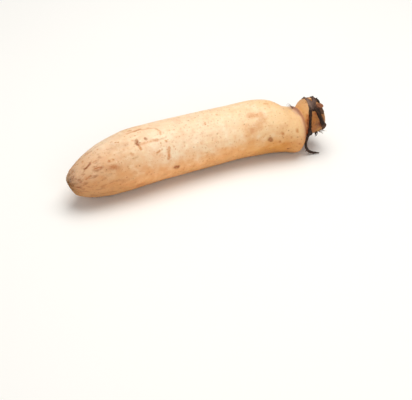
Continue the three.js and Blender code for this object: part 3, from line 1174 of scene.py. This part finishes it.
@dataclass(frozen=True)
class SheathFinish:
    """Dried sheath: dark fibres along each strip, greyer on the crest."""

    dark: str = "170E09"
    brown: str = "4E2F1E"
    patches: str = "38221A"
    grey: str = "7A5F54"
    first_grey: str = "A4897C"  # where the crest begins
    apron: str = "6E4C39"

    def build(self) -> bpy.types.Material:
        """Makes the material.

        Returns:
            The material, which reads the UV map in millimetres and Object coordinates.
        """
        shader = Shader("dried_sheath_fibre", Specular_IOR_Level=0.25)
        place = shader.place()
        along, _, height = shader.axes(place)
        fibres = shader.noise(shader.drawn_out(shader.uv(), 7.0, 0.06, 1.0), 1.0, 4.0, 0.7)
        patch = shader.noise(place, 2.6, 4.0)
        crest = (height + (patch - 0.5) * 5).ease(45.5, 49.5) * (1 - along.ease(118.0, 121.0))
        colour = shader.mix(fibres.ease(0.42, 0.66), hue(self.dark), hue(self.brown))
        colour = shader.paint(colour, patch.ease(0.5, 0.7) * 0.5, self.patches)
        colour = shader.paint(colour, crest * (fibres.ease(0.35, 0.6) * 0.5 + 0.35), self.grey)
        first = crest * (1 - along.ease(110.6, 112.8))
        colour = shader.paint(colour, first * 0.5, self.first_grey)
        apron = along.ease(116.5, 119.0) * (1 - height.bell(34.0, 6.0)) * (1 - crest)
        colour = shader.paint(colour, apron * 0.6, self.apron)
        # painted shadow: behind the stump the crest is painted near black
        notch_shadow = along.ease(119.4, 120.8) * height.ease(45.0, 46.5)
        colour = shader.paint(colour, notch_shadow * 0.9, self.dark)
        normal = shader.relief(fibres, 0.30, shader.relief(patch, 0.4))
        shader.feed(Base_Color=colour, Roughness=0.50 + fibres * 0.4, Normal=normal)
        return shader.material


@dataclass(frozen=True)
class RootFinish:
    """Dried roots and hairs."""

    name: str
    dark: str
    light: str

    def build(self) -> bpy.types.Material:
        """Makes the material.

        Returns:
            The material, which reads Object coordinates.
        """
        shader = Shader(self.name, Specular_IOR_Level=0.35)
        place = shader.place()
        wrinkles = shader.noise(place, 0.8, 4.0, 0.65)
        patch = shader.noise(place, 4.0, 3.0)
        colour = shader.mix(wrinkles.ease(0.4, 0.65), hue(self.dark), hue(self.light))
        colour = shader.paint(colour, patch.ease(0.5, 0.7) * 0.4, self.dark)
        normal = shader.relief(wrinkles, 0.25)
        shader.feed(Base_Color=colour, Roughness=0.55 + wrinkles * 0.3, Normal=normal)
        return shader.material


@dataclass(frozen=True)
class StalkFinish:
    """The torn end of the leaf stalk: reddish across the tear; its side dark, partly its own brown
    and partly painted shade.
    """

    middle: Vector
    outward: Vector
    torn: str = "AC6C44"
    fibres: str = "70402A"
    side: str = "6B4029"

    def build(self) -> bpy.types.Material:
        """Makes the material.

        Returns:
            The material, which reads Object coordinates.
        """
        shader = Shader("torn_stalk")
        place = shader.place()
        offset = shader.vector("SUBTRACT", place, tuple(self.middle))
        fibre = shader.noise(place, 0.7, 4.0, 0.7)
        top = (shader.dot(offset, self.outward) + (fibre - 0.5) * 1.6).ease(-0.3, 0.8)
        colour = shader.mix(fibre.ease(0.35, 0.65), hue(self.torn), hue(self.fibres))
        # the side's dark brown is partly the stalk's own colour and partly painted shade
        colour = shader.mix(top, hue(self.side), colour)
        normal = shader.relief(fibre, 0.5)
        shader.feed(Base_Color=colour, Roughness=0.6 + fibre * 0.2, Normal=normal)
        return shader.material


# ---- the rhizome ----


class Row(NamedTuple):
    """One ring of the skin: its share of its end's slant, and of its width over that end."""

    along: float
    slant: float
    shrink: float = 1.0


class Channels(NamedTuple):
    """Air channels round the middle of an end, each longer than broad by `oval`."""

    middle: Vector
    count: int
    ring: float
    radius: float
    depth: float
    oval: float


@dataclass
class Rhizome:
    """The plump segment, its neck and the node, with both ends closed."""

    skin: SkinMap
    columns: int = 44
    body_step: float = 2.9
    end_step: float = 1.25
    growing: tuple[float, float] = (-119, -112)  # where the rings move apart
    shrinking: tuple[float, float] = (84, 90)  # where they close up again
    left: float = -123.2
    right: float = 124.62
    left_slant: float = -117.5  # where the rings begin to slant as the broken end does
    right_slant: float = 116.0  # and as the cut face does
    left_slope: tuple[float, float] = (-0.20, -0.20)  # how the broken end slants with y and z
    right_slope: tuple[float, float] = (0.0, -0.05)  # how the cut face slants
    face: float = 124.82  # the middle of the cut face
    face_reach: float = 0.2  # how near its plane a face of the mesh belongs to it
    scar_dome: float = 2.0
    rim_ring: float = 0.985
    cap_rings: tuple[float, ...] = (0.93, 0.8, 0.62, 0.42, 0.2, 0.0)
    pore_sides: int = 22
    flare: float = 0.3  # how much a channel's mouth widens outwards
    crease: float = 48.0
    # the relief, in millimetres
    swell: float = 0.25
    lumps: float = 0.16
    ribs: float = 0.25
    lip: float = 0.25
    groove: float = 0.3
    pleats: float = 0.5
    node_knobs: float = 0.45
    puckers: float = 0.75
    crumbs: float = 0.25

    def _rows(self) -> list[Row]:
        """All rings from one end's middle to the other's.

        Returns:
            The rings in order.
        """
        rows = [Row(self.left, 1.0, shrink) for shrink in reversed(self.cap_rings)]
        along = self.left
        while along < self.right - self.end_step / 2:
            left = along < 0
            low, high = (self.left_slant, self.left) if left else (self.right_slant, self.right)
            rows.append(Row(along, ease(low, high, along)))
            plump = ease(*self.growing, along) * (1 - ease(*self.shrinking, along))
            along += self.end_step + (self.body_step - self.end_step) * plump
        rows.append(Row(self.right, 1.0))
        rows += [Row(self.right, 1.0, shrink) for shrink in (self.rim_ring, *self.cap_rings)]
        return rows

    def _ring_point(self, row: Row, turn: float) -> Vector:
        """A point of a ring.

        Args:
            row: the ring.
            turn: how far round it, 0 to 1.

        Returns:
            The place in millimetres.
        """
        theta = TURN * turn
        across, up = math.cos(theta), math.sin(theta)
        slope_y, slope_z = self.left_slope if row.along < 0 else self.right_slope
        slope = (slope_y * across + slope_z * up) * row.slant
        middle = self.skin.middle(row.along)
        rim = self.skin.cast(middle, Vector((slope, across, up)).normalized())
        spot = middle.lerp(rim, row.shrink)
        if row.shrink < 1 and row.along > 0:
            spot.x += self.face - self.right
        if row.shrink < 1 and row.along < 0:
            spot.x -= self.scar_dome * (1 - row.shrink**2)
        return spot

    def _behind_face(self, place: Vector) -> float:
        """How far a place lies behind the plane of the cut face.

        Args:
            place: the place in millimetres.

        Returns:
            The distance along the root in millimetres.
        """
        offset = place - self.skin.middle(self.right)
        slope_y, slope_z = self.right_slope
        return self.face - place.x + slope_y * offset.y + slope_z * offset.z

    def _height(self, place: Vector) -> float:
        """How far the finished skin stands off the plain one.

        Args:
            place: a place on the plain skin.

        Returns:
            The distance in millimetres.
        """
        theta = self.skin.angle_of(place)
        on_face = 1 - ease(0.15, 0.5, self._behind_face(place))
        plump = (1 - ease(96, 101, place.x)) * ease(-122, -112, place.x)
        body = noise.noise(place / 24 + Vector((3.1, 0.4, 7.7))) * self.swell
        body += noise.noise(Vector((place.x / 9, place.y / 5, place.z / 5))) * self.lumps
        body += noise.noise(lengthwise(place.x, theta, 30, 3.2)) * self.ribs
        leant = place.x + (place.z - 28) * 0.07
        neck = bell(leant, 101.2, 1.3) * self.lip - bell(leant, 103.6, 1.2) * self.groove
        folds = ridged(lengthwise(place.x, theta, 7, 4.5)) - 0.7
        neck += bell(place.x, 105.5, 4.0) * folds * self.pleats
        node = ease(109, 112, place.x) * noise.noise(place / 2.6) * self.node_knobs
        return body * plump + (neck + node) * (1 - on_face) + self._pucker(place, theta)

    def _pucker(self, place: Vector, theta: float) -> float:
        """The dry folds round the broken end.

        Args:
            place: a place on the plain skin.
            theta: radians round the root.

        Returns:
            How far they stand off the skin, in millimetres.
        """
        share = 1 - ease(-122, -112, place.x)
        if share <= 0:
            return 0.0
        around = lengthwise(place.x, theta, 9, 3.4)
        folds = (ridged(around) - 0.72) * 2.4 + ridged(around * 2.3) - 0.7
        return share * (folds * self.puckers + noise.noise(place / 1.4) * self.crumbs)

    def _pores(self) -> bmesh.types.BMesh:
        """The air channels' mouths, as solids to cut away.

        Returns:
            One mesh with all of them.
        """
        cutters = bmesh.new()
        stub, scar = Vector((self.face, -9.6, 30.6)), Vector((-124.2, -7.3, 24.2))
        for group in (
            Channels(stub, 8, ring=7.4, radius=1.7, depth=7.0, oval=1.25),
            Channels(stub, 1, ring=0.0, radius=1.0, depth=4.0, oval=1.0),
            Channels(scar, 6, ring=4.1, radius=0.8, depth=3.0, oval=1.3),
        ):
            outward = Matrix.Rotation(math.copysign(math.pi / 2, group.middle.x), 4, "Y")
            for i in range(group.count):
                theta = (i + 0.5) / group.count * TURN
                spot = group.middle + Vector((0, math.cos(theta), math.sin(theta))) * group.ring
                turned = Matrix.Rotation(theta, 4, "X") @ Matrix.Diagonal((1, group.oval, 1, 1))
                bmesh.ops.create_cone(
                    cutters,
                    cap_ends=True,
                    segments=self.pore_sides,
                    radius1=group.radius * (1 - self.flare) * MM,
                    radius2=group.radius * (1 + self.flare) * MM,
                    depth=group.depth * 2 * MM,
                    matrix=Matrix.Translation(spot * MM) @ turned @ outward,
                )
        return cutters

    def build(self) -> bpy.types.Object:
        """Shapes the skin, cuts the channels and dresses the result.

        Returns:
            The finished piece.
        """
        rows = self._rows()

        def place(share: float, turn: float) -> Vector:
            """A point of the cage.

            Args:
                share: how far along, 0 to 1.
                turn: how far round, 0 to 1.

            Returns:
                The place in millimetres.
            """
            return self._ring_point(rows[round(share * (len(rows) - 1))], turn)

        materials = [SkinFinish(self.skin).build(), FleshFinish().build()]
        cage = rolled(len(rows) - 1, self.columns, place)
        piece = finished("lotus_root", cage, materials)
        subdivide(piece, 2)
        raise_skin(piece, self._height)
        for vert in piece.data.vertices:
            vert.co.z = max(vert.co.z, 0.0)
        for face in piece.data.polygons:
            if self._behind_face(face.center / MM) < self.face_reach and face.normal.x > 0.85:
                face.material_index = 1
        self._cut(piece, materials)
        piece.data.set_sharp_from_angle(angle=math.radians(self.crease))
        return piece

    def _cut(self, piece: bpy.types.Object, materials: Sequence[bpy.types.Material]) -> None:
        """Cuts the channels' mouths into a piece.

        Args:
            piece: the rhizome.
            materials: its materials, the second for the channels' walls.
        """
        cutter = finished("channel_cutter", self._pores(), materials)
        for face in cutter.data.polygons:
            face.material_index = 1
        channels = piece.modifiers.new("channels", "BOOLEAN")
        channels.operation = "DIFFERENCE"
        channels.solver = "MANIFOLD"
        channels.object = cutter
        settle(piece)
        bpy.data.objects.remove(cutter)


@dataclass
class StalkStump:
    """The torn stump of the leaf stalk on the node."""

    skin: SkinMap
    along: float = 119.7
    angle: float = 122.0
    radius: float = 3.85
    oval: float = 0.66  # its breadth round the root against its length
    rise: float = 1.0
    sunk: float = 3.0
    spread: tuple[float, float] = (1.12, 0.94)  # times `radius`, at the foot and at the lid
    segments: int = 32
    edge_bevel: float = 0.45
    # how far in each ring of the torn lid lies, and how far it sinks or stands up
    tears: tuple[tuple[float, float], ...] = ((0.55, -0.35), (0.8, -0.15), (0.7, 0.3))

    def _torn(self, place: Vector) -> float:
        """How far the torn fibres stand off the plain stump."""
        return noise.noise(place / 0.9) * 0.28 + noise.noise(place / 2.4) * 0.5

    def build(self) -> bpy.types.Object:
        """Makes the stump square to the skin.

        Returns:
            The finished piece.
        """
        foot = self.skin.point(self.along, self.angle)
        outward = self.skin.normal(self.along, self.angle)
        mesh = bmesh.new()
        depth = self.rise + self.sunk
        bmesh.ops.create_cone(
            mesh,
            cap_ends=True,
            segments=self.segments,
            radius1=self.radius * self.spread[0] * MM,
            radius2=self.radius * self.spread[1] * MM,
            depth=depth * MM,
            matrix=Matrix.Translation((0, 0, (self.rise - depth / 2) * MM)),
        )
        lid = [face for face in mesh.faces if face.normal.z > 0.9]
        rim = [edge for face in lid for edge in face.edges]
        bmesh.ops.bevel(
            mesh,
            geom=rim,
            offset=self.edge_bevel * MM,
            offset_type="OFFSET",
            affect="EDGES",
            segments=2,
            profile=0.5,
            material=-1,
        )
        lid = [face for face in mesh.faces if face.normal.z > 0.99]
        for thickness, sink in self.tears:
            bmesh.ops.inset_region(mesh, faces=lid, thickness=thickness * MM, depth=sink * MM)
        sides = [
            edge for edge in mesh.edges if abs(edge.verts[0].co.z - edge.verts[1].co.z) > 2 * MM
        ]
        bmesh.ops.subdivide_edges(mesh, edges=sides, cuts=4, use_grid_fill=True)
        around = outward.cross(Vector((1, 0, 0))).normalized()
        turn = Matrix((around.cross(outward), around * self.oval, outward)).transposed().to_4x4()
        bmesh.ops.transform(mesh, matrix=Matrix.Translation(foot * MM) @ turn, verts=mesh.verts)
        bmesh.ops.recalc_face_normals(mesh, faces=mesh.faces)
        piece = finished("leaf_stalk_stump", mesh, [StalkFinish(foot, outward).build()])
        subdivide(piece, 2)
        raise_skin(piece, self._torn)
        return piece


# ---- the dried sheath ----


class Knot(NamedTuple):
    """A place that a strip passes, half its width there and its height off the skin."""

    along: float
    angle: float
    half: float
    rise: float


COLLAR = (
    Knot(112.4, 94, 1.8, 1.3),
    Knot(112.3, 107, 2.6, 1.3),
    Knot(110.2, 120, 1.7, 1.3),
    Knot(108.0, 141, 1.25, 1.3),
    Knot(106.9, 166, 1.2, 1.3),
    Knot(107.2, 192, 1.5, 1.2),
    Knot(109.8, 215, 1.2, 1.1),
    Knot(112.3, 250, 1.1, 1.0),
    Knot(114.4, 300, 1.2, 1.0),
    Knot(115.0, 350, 1.2, 1.0),
    Knot(114.6, 395, 1.1, 1.0),
    Knot(113.0, 425, 0.8, 0.9),
    Knot(112.1, 440, 1.0, 1.5),
)
TONGUE = (
    Knot(113.6, 103, 1.7, 1.2),
    Knot(114.3, 114, 1.8, 1.4),
    Knot(115.1, 134, 2.0, 1.4),
    Knot(116.9, 157, 2.1, 1.6),
    Knot(119.2, 178, 2.2, 2.0),
    Knot(121.2, 190, 2.6, 2.4),
    Knot(121.4, 199, 1.6, 1.6),
    Knot(120.8, 206, 0.8, 0.9),
)
FLAKES = (
    # the peak, and the broad tear that it stands on
    (
        Knot(119.0, 60, 0.9, 0.7),
        Knot(118.8, 71, 1.0, 1.3),
        Knot(118.5, 81, 1.1, 2.9),
        Knot(117.8, 92, 1.7, 1.9),
        Knot(116.4, 104, 1.9, 1.5),
        Knot(114.8, 115, 1.4, 1.3),
    ),
    (
        Knot(120.6, 70, 0.9, 0.8),
        Knot(120.4, 83, 1.3, 1.5),
        Knot(120.0, 94, 1.4, 1.3),
        Knot(119.2, 103, 1.0, 0.9),
    ),
    # the web between the collar and the tongue
    (
        Knot(112.6, 116, 1.4, 1.0),
        Knot(112.5, 126, 1.7, 1.1),
        Knot(112.9, 133, 0.8, 0.7),
    ),
    # the edge behind the stump, where the stump's shadow is painted on the sheath
    (
        Knot(121.9, 78, 0.8, 0.8),
        Knot(121.7, 90, 1.2, 1.8),
        Knot(121.5, 100, 1.5, 1.7),
        Knot(121.0, 108, 1.0, 1.1),
    ),
    # the apron below the stump
    (
        Knot(113.8, 123, 1.3, 1.2),
        Knot(115.9, 131, 2.1, 1.5),
        Knot(118.5, 136, 2.8, 1.6),
        Knot(121.0, 137, 3.1, 1.3),
        Knot(122.8, 138, 2.6, 0.7),
    ),
)


@dataclass
class Ribbon:
    """One strip of dried sheath that lies on the skin."""

    skin: SkinMap
    knots: Sequence[Knot]
    closed: bool = False
    seed: float = 0.0
    row_length: float = 0.7
    columns: int = 20
    sunk: float = 0.35
    frayed: float = 0.28
    last: float = 123.8  # the end of the skin
    node_radius: float = 16.8
    noise_ring: float = 16.0  # a closed strip reads its noise round this, so that it meets itself

    def __post_init__(self) -> None:
        """Works out the strip's length."""
        self.length = sum(
            math.hypot(b.along - a.along, math.radians(b.angle - a.angle) * self.node_radius)
            for a, b in zip(self.knots, self.knots[1:], strict=False)
        )

    def route(self, share: float) -> Vector:
        """The strip's place and size at a share of its length.

        Args:
            share: how far along the strip, 0 to 1.

        Returns:
            A vector of `along`, `angle`, half width and rise.
        """
        knots = [Vector(knot) for knot in self.knots]
        if not self.closed:
            return spline(knots, share)
        whole = Vector((0, 360, 0, 0))
        count = len(knots)
        looped = [knots[-1] - whole, *knots, knots[0] + whole, knots[1] + whole]
        return spline(looped, (1 + share * count) / (count + 2))

    def crossing(self, angle: float) -> float:
        """Where the strip crosses an angle.

        Args:
            angle: degrees round the root.

        Returns:
            `along`, taken straight from knot to knot.
        """
        for before, after in zip(self.knots, self.knots[1:], strict=False):
            if before.angle <= angle <= after.angle:
                share = (angle - before.angle) / (after.angle - before.angle)
                return before.along + (after.along - before.along) * share
        raise ValueError(f"the strip doesn't cross {angle} degrees")

    def at(self, share: float, offset: float, lift: float) -> Vector:
        """A place beside the strip's middle line.

        Args:
            share: how far along the strip.
            offset: millimetres to the side.
            lift: height over the skin.

        Returns:
            The place in millimetres.
        """
        here = self.route(share)
        step = self.route(share + 0.01) - self.route(share - 0.01)
        heading = Vector((step.x, math.radians(step.y) * self.node_radius)).normalized()
        along, angle = self.skin.beside(here.x, here.y, -heading.y * offset, heading.x * offset)
        return self.skin.point(min(along, self.last), angle, lift)

    def build(self) -> bmesh.types.BMesh:
        """Makes the strip's mesh, with ragged edges, fibres along it and torn ends.

        Returns:
            The mesh.
        """

        def place(share: float, turn: float) -> Vector:
            """A point of the strip.

            Args:
                share: how far along, 0 to 1.
                turn: how far round, 0 to 1.

            Returns:
                The place in millimetres.
            """
            here = self.route(share)
            theta = TURN * turn
            side = math.cos(theta)
            run = share * self.length
            if self.closed:
                across, up = math.cos(TURN * share), math.sin(TURN * share)
                run_at = Vector((across * self.noise_ring, up * self.noise_ring, self.seed))
                tip = 1.0
            else:
                run_at = Vector((run, 0, self.seed))
                tip = (ease(0, 0.9, run) * ease(0, 0.9, self.length - run)) ** 0.5
            edge = 1 + self.frayed * noise.noise(run_at * 0.45 + Vector((0, side * 3, 0)))
            edge += self.frayed * 0.7 * noise.noise(run_at * 1.7 + Vector((side * 9, 0, 4)))
            offset = here.z * tip * edge * side
            fibre = ridged(run_at * 0.12 + Vector((0, 0, offset * 1.9)))
            knobs = noise.noise(run_at * 0.5 + Vector((0, offset * 0.6, 9)))
            dome = max(math.sin(theta), 0.0) ** 0.55
            top = here.w * (0.62 + 0.30 * fibre + 0.35 * knobs) * dome
            lift = top * tip - self.sunk * (1 - dome)
            return self.at(share, offset, lift if abs(lift) > 1e-3 else 1e-3)

        mesh = rolled(max(int(self.length / self.row_length), 6), self.columns, place)
        layer = mesh.loops.layers.uv.active
        for face in mesh.faces:
            for loop in face.loops:
                loop[layer].uv.x *= self.length
        return mesh


@dataclass
class Sheath:
    """The collar, the tongue below it, the torn crest and the fibres that come off them."""

    skin: SkinMap
    fibres: int = 34
    shards: int = 9
    seed: int = 21
    shortest: float = 12.0  # a strip shorter than this has no loose fibres

    def _ribbons(self) -> list[Ribbon]:
        """All strips that lie on the skin.

        Returns:
            The collar, the tongue and the flakes.
        """
        collar = Ribbon(self.skin, COLLAR, closed=True, seed=1.5)
        tongue = Ribbon(self.skin, TONGUE, seed=4.2)
        flakes = [Ribbon(self.skin, knots, seed=7.3 + 2.9 * i) for i, knots in enumerate(FLAKES)]
        return [collar, tongue, *flakes]

    def _fibre(self, strip: Ribbon, dice: random.Random) -> bmesh.types.BMesh:
        """A thin strand that runs along a strip and lifts off at its end.

        Args:
            strip: the strip.
            dice: the draws.

        Returns:
            Its mesh.
        """
        start = dice.uniform(0, 0.8)
        reach = min(dice.uniform(6, 15) / strip.length, 0.5)
        side = dice.uniform(-1.3, 1.3)
        lift_end = dice.choice((0.4, 0.9, 1.6))
        route = []
        for i in range(6):
            share = start + reach * i / 5
            wave = math.sin(i * 1.7 + side * 3) * 0.35
            lift = strip.route(share).w * 0.75 + lift_end * (i / 5) ** 3
            route.append(strip.at(share, side + wave, lift))
        radius = dice.uniform(0.13, 0.27)
        return strand(route, (radius * 0.6, radius, radius, radius * 0.3), 12, 6)

    def _shard(self, dice: random.Random) -> bmesh.types.BMesh:
        """A thin torn leaf of sheath that stands up on the crest.

        Args:
            dice: the draws.

        Returns:
            Its mesh.
        """
        along, angle = dice.uniform(116.0, 121.0), dice.uniform(70, 104)
        foot = self.skin.point(along, angle, 0.6)
        up = self.skin.normal(along, angle)
        lean = Vector((dice.uniform(-0.5, 0.8), dice.uniform(-0.5, 0.5), 0))
        width, tall = dice.uniform(0.9, 1.9), dice.uniform(1.1, 2.3)
        heading = Vector((dice.uniform(-0.4, 0.4), 1, 0)).normalized()

        def place(share: float, turn: float) -> Vector:
            """A point of the leaf.

            Args:
                share: how far along, 0 to 1.
                turn: how far round, 0 to 1.

            Returns:
                The place in millimetres.
            """
            theta = TURN * turn
            torn = 1 + 0.3 * noise.noise(Vector((share * 4, theta, along)))
            half = width * (1 - share**1.6) * torn
            thick = 0.22 * (1 - share) + 0.05
            rise = up * tall * (share * 1.4 - 0.4) + lean * share * share * tall * 0.6
            out = up.cross(heading) * math.sin(theta) * thick * min(1.0, 8 * (1 - share))
            return foot + rise + heading * math.cos(theta) * half + out

        return rolled(10, 10, place)

    def build(self) -> bpy.types.Object:
        """Makes all strips, strands and leaves as one piece.

        Returns:
            The finished piece.
        """
        dice = random.Random(self.seed)
        ribbons = self._ribbons()
        meshes = [ribbon.build() for ribbon in ribbons]
        long_ones = [ribbon for ribbon in ribbons if ribbon.length > self.shortest]
        meshes += [self._fibre(dice.choice(long_ones), dice) for _ in range(self.fibres)]
        meshes += [self._shard(dice) for _ in range(self.shards)]
        piece = finished("dried_sheath", merged(meshes), [SheathFinish().build()])
        subdivide(piece, 1)
        return piece


# ---- roots ----


LONG_ROOT = (
    Vector((108.0, -24.6, 27.6)),
    Vector((106.2, -25.5, 23.2)),
    Vector((104.0, -26.0, 18.1)),
    Vector((103.0, -26.2, 13.6)),
    Vector((103.4, -27.0, 8.8)),
    Vector((106.2, -27.4, 4.2)),
    Vector((110.0, -28.1, 2.1)),
    Vector((116.2, -30.4, 1.1)),
)


@dataclass
class Roots:
    """The long hanging root, the short black bristles round the collar and the fine pale hairs."""

    skin: SkinMap
    radii: tuple[float, ...] = (1.4, 1.4, 1.35, 1.35, 1.35, 1.3, 1.5, 1.1, 0.5)
    rootlets: int = 16
    bristles: int = 56
    shoulder_hairs: int = 5
    node_hairs: int = 24
    floor: float = 0.3  # the least height of a thin root's middle
    hair_radii: tuple[float, float] = (0.2, 0.11)  # at the shoulder and on the node
    seed: int = 5

    def _long_root(self) -> bmesh.types.BMesh:
        """The root that hangs from the collar and lies on along the floor.

        Returns:
            Its mesh.
        """
        mesh = strand(LONG_ROOT, self.radii, 72, 12)
        for vert in mesh.verts:
            place = vert.co / MM
            wrinkle = noise.noise(Vector((place.x, place.y, place.z * 0.6)) * 0.9) * 0.22
            wrinkle += noise.noise(place * 2.4) * 0.10
            vert.co += vert.normal * wrinkle * MM
            vert.co.z = max(vert.co.z, 0.05 * MM)
        return mesh

    def _side_roots(self, dice: random.Random) -> list[bmesh.types.BMesh]:
        """Thin rootlets off the long root.

        Args:
            dice: the draws.

        Returns:
            Their meshes.
        """
        made = []
        for _ in range(self.rootlets):
            foot = spline(LONG_ROOT, dice.uniform(0.1, 0.98))
            way = Vector((dice.uniform(-1, 1), dice.uniform(-1, 0.4), dice.uniform(-0.7, 0.4)))
            way.normalize()
            reach = dice.uniform(1.2, 3.2)
            route = [foot, foot + way * reach * 0.6, foot + (way + Vector((0, 0, -0.35))) * reach]
            for spot in route:
                spot.z = max(spot.z, self.floor)
            made.append(strand(route, (0.24, 0.17, 0.08), 5, 5))
        return made

    def _bristle(
        self, along: float, angle: float, reach: float, radius: float, dice: random.Random
    ) -> bmesh.types.BMesh:
        """A short stiff root that leaves the skin and bends down.

        Args:
            along: its foot's place along the root.
            angle: its foot's place round the root.
            reach: its length.
            radius: its radius at the foot.
            dice: the draws.

        Returns:
            The mesh.
        """
        foot = self.skin.point(along, angle, -0.3)
        way = self.skin.normal(along, angle)
        way += Vector((dice.uniform(-0.5, 0.7), dice.uniform(-0.4, 0.4), dice.uniform(-0.5, 0.1)))
        way.normalize()
        sag = Vector((dice.uniform(-0.3, 0.3), dice.uniform(-0.3, 0.3), -1)) * reach
        route = [foot + way * reach * t + sag * 0.45 * t * t for t in (0, 0.35, 0.7, 1)]
        for spot in route:
            spot.z = max(spot.z, self.floor)
        return strand(route, (radius, radius * 0.8, radius * 0.5), 6, 5)

    def _hair(
        self,
        along: float,
        angle: float,
        reach: float,
        curl: float,
        radius: float,
        dice: random.Random,
    ) -> bmesh.types.BMesh:
        """A fine curled hair.

        Args:
            along: its foot's place along the root.
            angle: its foot's place round the root.
            reach: its length.
            curl: how far it curls to a side.
            radius: its radius at the foot.
            dice: the draws.

        Returns:
            The mesh.
        """
        foot = self.skin.point(along, angle, -0.2)
        up = self.skin.normal(along, angle)
        side = Vector((-1, dice.uniform(-0.5, 0.5), 0.1)).normalized()
        lift = dice.uniform(0.55, 1.0)
        spots = ((0, 0), (0.45, 0.15), (0.85, 0.5), (1.1, 0.95), (1.0, 1.35))
        route = [foot + up * reach * lift * rise + side * curl * out for rise, out in spots]
        return strand(route, (radius, radius * 0.8, radius * 0.55, radius * 0.35), 14, 5)

    def build(self) -> list[bpy.types.Object]:
        """Makes the long root, the bristles and the hairs.

        Returns:
            The finished pieces.
        """
        dice = random.Random(self.seed)
        dark = RootFinish("dried_root", "1E140E", "54392A").build()
        pale = RootFinish("root_hair", "5B4A40", "9A8779").build()
        hanging = merged([self._long_root(), *self._side_roots(dice)])
        long_root = finished("long_root", hanging, [dark])
        subdivide(long_root, 1)
        collar = Ribbon(self.skin, COLLAR, closed=True)
        tufts = []
        for _ in range(self.bristles):
            angle = dice.uniform(246, 382)
            along = collar.crossing(angle) + dice.uniform(-1.2, 1.2)
            reach, radius = dice.uniform(1.6, 5.5), dice.uniform(0.2, 0.5)
            tufts.append(self._bristle(along, angle, reach, radius, dice))
        for _ in range(self.bristles // 5):
            along, angle = dice.uniform(114.2, 116.0), dice.uniform(216, 226)
            reach, radius = dice.uniform(1.6, 3.4), dice.uniform(0.25, 0.5)
            tufts.append(self._bristle(along, angle, reach, radius, dice))
        bristles = finished("root_bristles", merged(tufts), [dark])
        fine = []
        for _ in range(self.shoulder_hairs):
            along, angle = dice.uniform(96.6, 98.2), dice.uniform(70, 90)
            reach, curl = dice.uniform(3.5, 6.0), dice.uniform(3.2, 5.4)
            fine.append(self._hair(along, angle, reach, curl, self.hair_radii[0], dice))
        for _ in range(self.node_hairs):
            along, angle = dice.uniform(117.0, 122.0), dice.uniform(206, 224)
            reach, curl = dice.uniform(2.0, 3.6), dice.uniform(-3.5, 0.5)
            fine.append(self._hair(along, angle, reach, curl, self.hair_radii[1], dice))
        hairs = finished("root_hairs", merged(fine), [pale])
        return [long_root, bristles, hairs]


# ---- the studio ----


class Lamp(NamedTuple):
    """A soft light: its place and size in metres, its power in watts and its colour."""

    name: str
    at: Vector
    size: tuple[float, float]
    power: float
    colour: str


LAMPS = (
    Lamp("overhead", Vector((0.15, 0.1, 1.1)), (1.0, 0.9), 11.0, "FFFDF8"),
    Lamp("front", Vector((-0.2, -1.2, 0.8)), (1.2, 0.6), 4.3, "FFFAF2"),
)


@dataclass
class Studio:
    """A pale floor, soft light from above and the camera. Places are in metres."""

    camera_at: Vector = Vector((-0.3130, -0.7056, 0.5849))
    looking: Vector = Vector((0.3244, 0.7063, -0.6292))
    lens: float = 90.0
    sensor: float = 36.0
    clip: tuple[float, float] = (0.01, 20.0)
    lit: Vector = Vector((0, 0, 0.02))  # what the lights face
    floor_reach: float = 3.0  # from its middle to its sides
    floor_tones: tuple[str, str] = ("F7F6F4", "FAF9F7")
    sky: str = "FFFFFF"
    sky_strength: float = 0.33

    def _floor(self) -> None:
        """A large pale floor."""
        mesh = bmesh.new()
        bmesh.ops.create_grid(mesh, x_segments=1, y_segments=1, size=self.floor_reach)
        shader = Shader("pale_floor")
        tone = shader.noise(shader.place(), 400.0, 2.0)
        colour = shader.mix(tone, *(hue(code) for code in self.floor_tones))
        shader.feed(Base_Color=colour, Roughness=0.75 + tone * 0.1)
        floor = finished("floor", mesh, [shader.material])

    def _light(self, lamp: Lamp) -> None:
        """Adds a light that faces the root.

        Args:
            lamp: the light.
        """
        light = bpy.data.lights.new(lamp.name, "AREA")
        light.shape = "RECTANGLE"
        light.size, light.size_y = lamp.size
        light.energy = lamp.power
        light.color = hue(lamp.colour)[:3]
        holder = bpy.data.objects.new(lamp.name, light)
        holder.location = lamp.at
        holder.rotation_euler = (self.lit - lamp.at).to_track_quat("-Z", "Y").to_euler()
        bpy.context.scene.collection.objects.link(holder)

    def _camera(self) -> None:
        """The camera."""
        lens = bpy.data.cameras.new("camera")
        lens.lens, lens.sensor_width = self.lens, self.sensor
        lens.clip_start, lens.clip_end = self.clip
        camera = bpy.data.objects.new("camera", lens)
        camera.location = self.camera_at
        camera.rotation_euler = self.looking.to_track_quat("-Z", "Y").to_euler()
        bpy.context.scene.collection.objects.link(camera)
        bpy.context.scene.camera = camera

    def build(self) -> None:
        """Sets up the sky, the floor, the lights and the camera."""
        scene = bpy.context.scene
        scene.view_settings.view_transform = "Standard"
        world = bpy.data.worlds.new("studio")
        world.use_nodes = True
        sky = world.node_tree.nodes["Background"]
        sky.inputs["Color"].default_value = hue(self.sky)
        sky.inputs["Strength"].default_value = self.sky_strength
        scene.world = world
        self._floor()
        for lamp in LAMPS:
            self._light(lamp)
        self._camera()


def main() -> None:
    """Builds every piece in order, then the studio."""
    logging.basicConfig(level=logging.INFO, format="%(name)s: %(message)s")
    skin = SkinMap(Node.RHIZOME)
    hand_over(Rhizome(skin).build(), Node.RHIZOME)
    hand_over(StalkStump(skin).build(), Node.RHIZOME)
    hand_over(Sheath(skin).build(), Node.SHEATH)
    for piece in Roots(skin).build():
        hand_over(piece, Node.SHEATH)
    Studio().build()


if __name__ == "__main__":
    main()
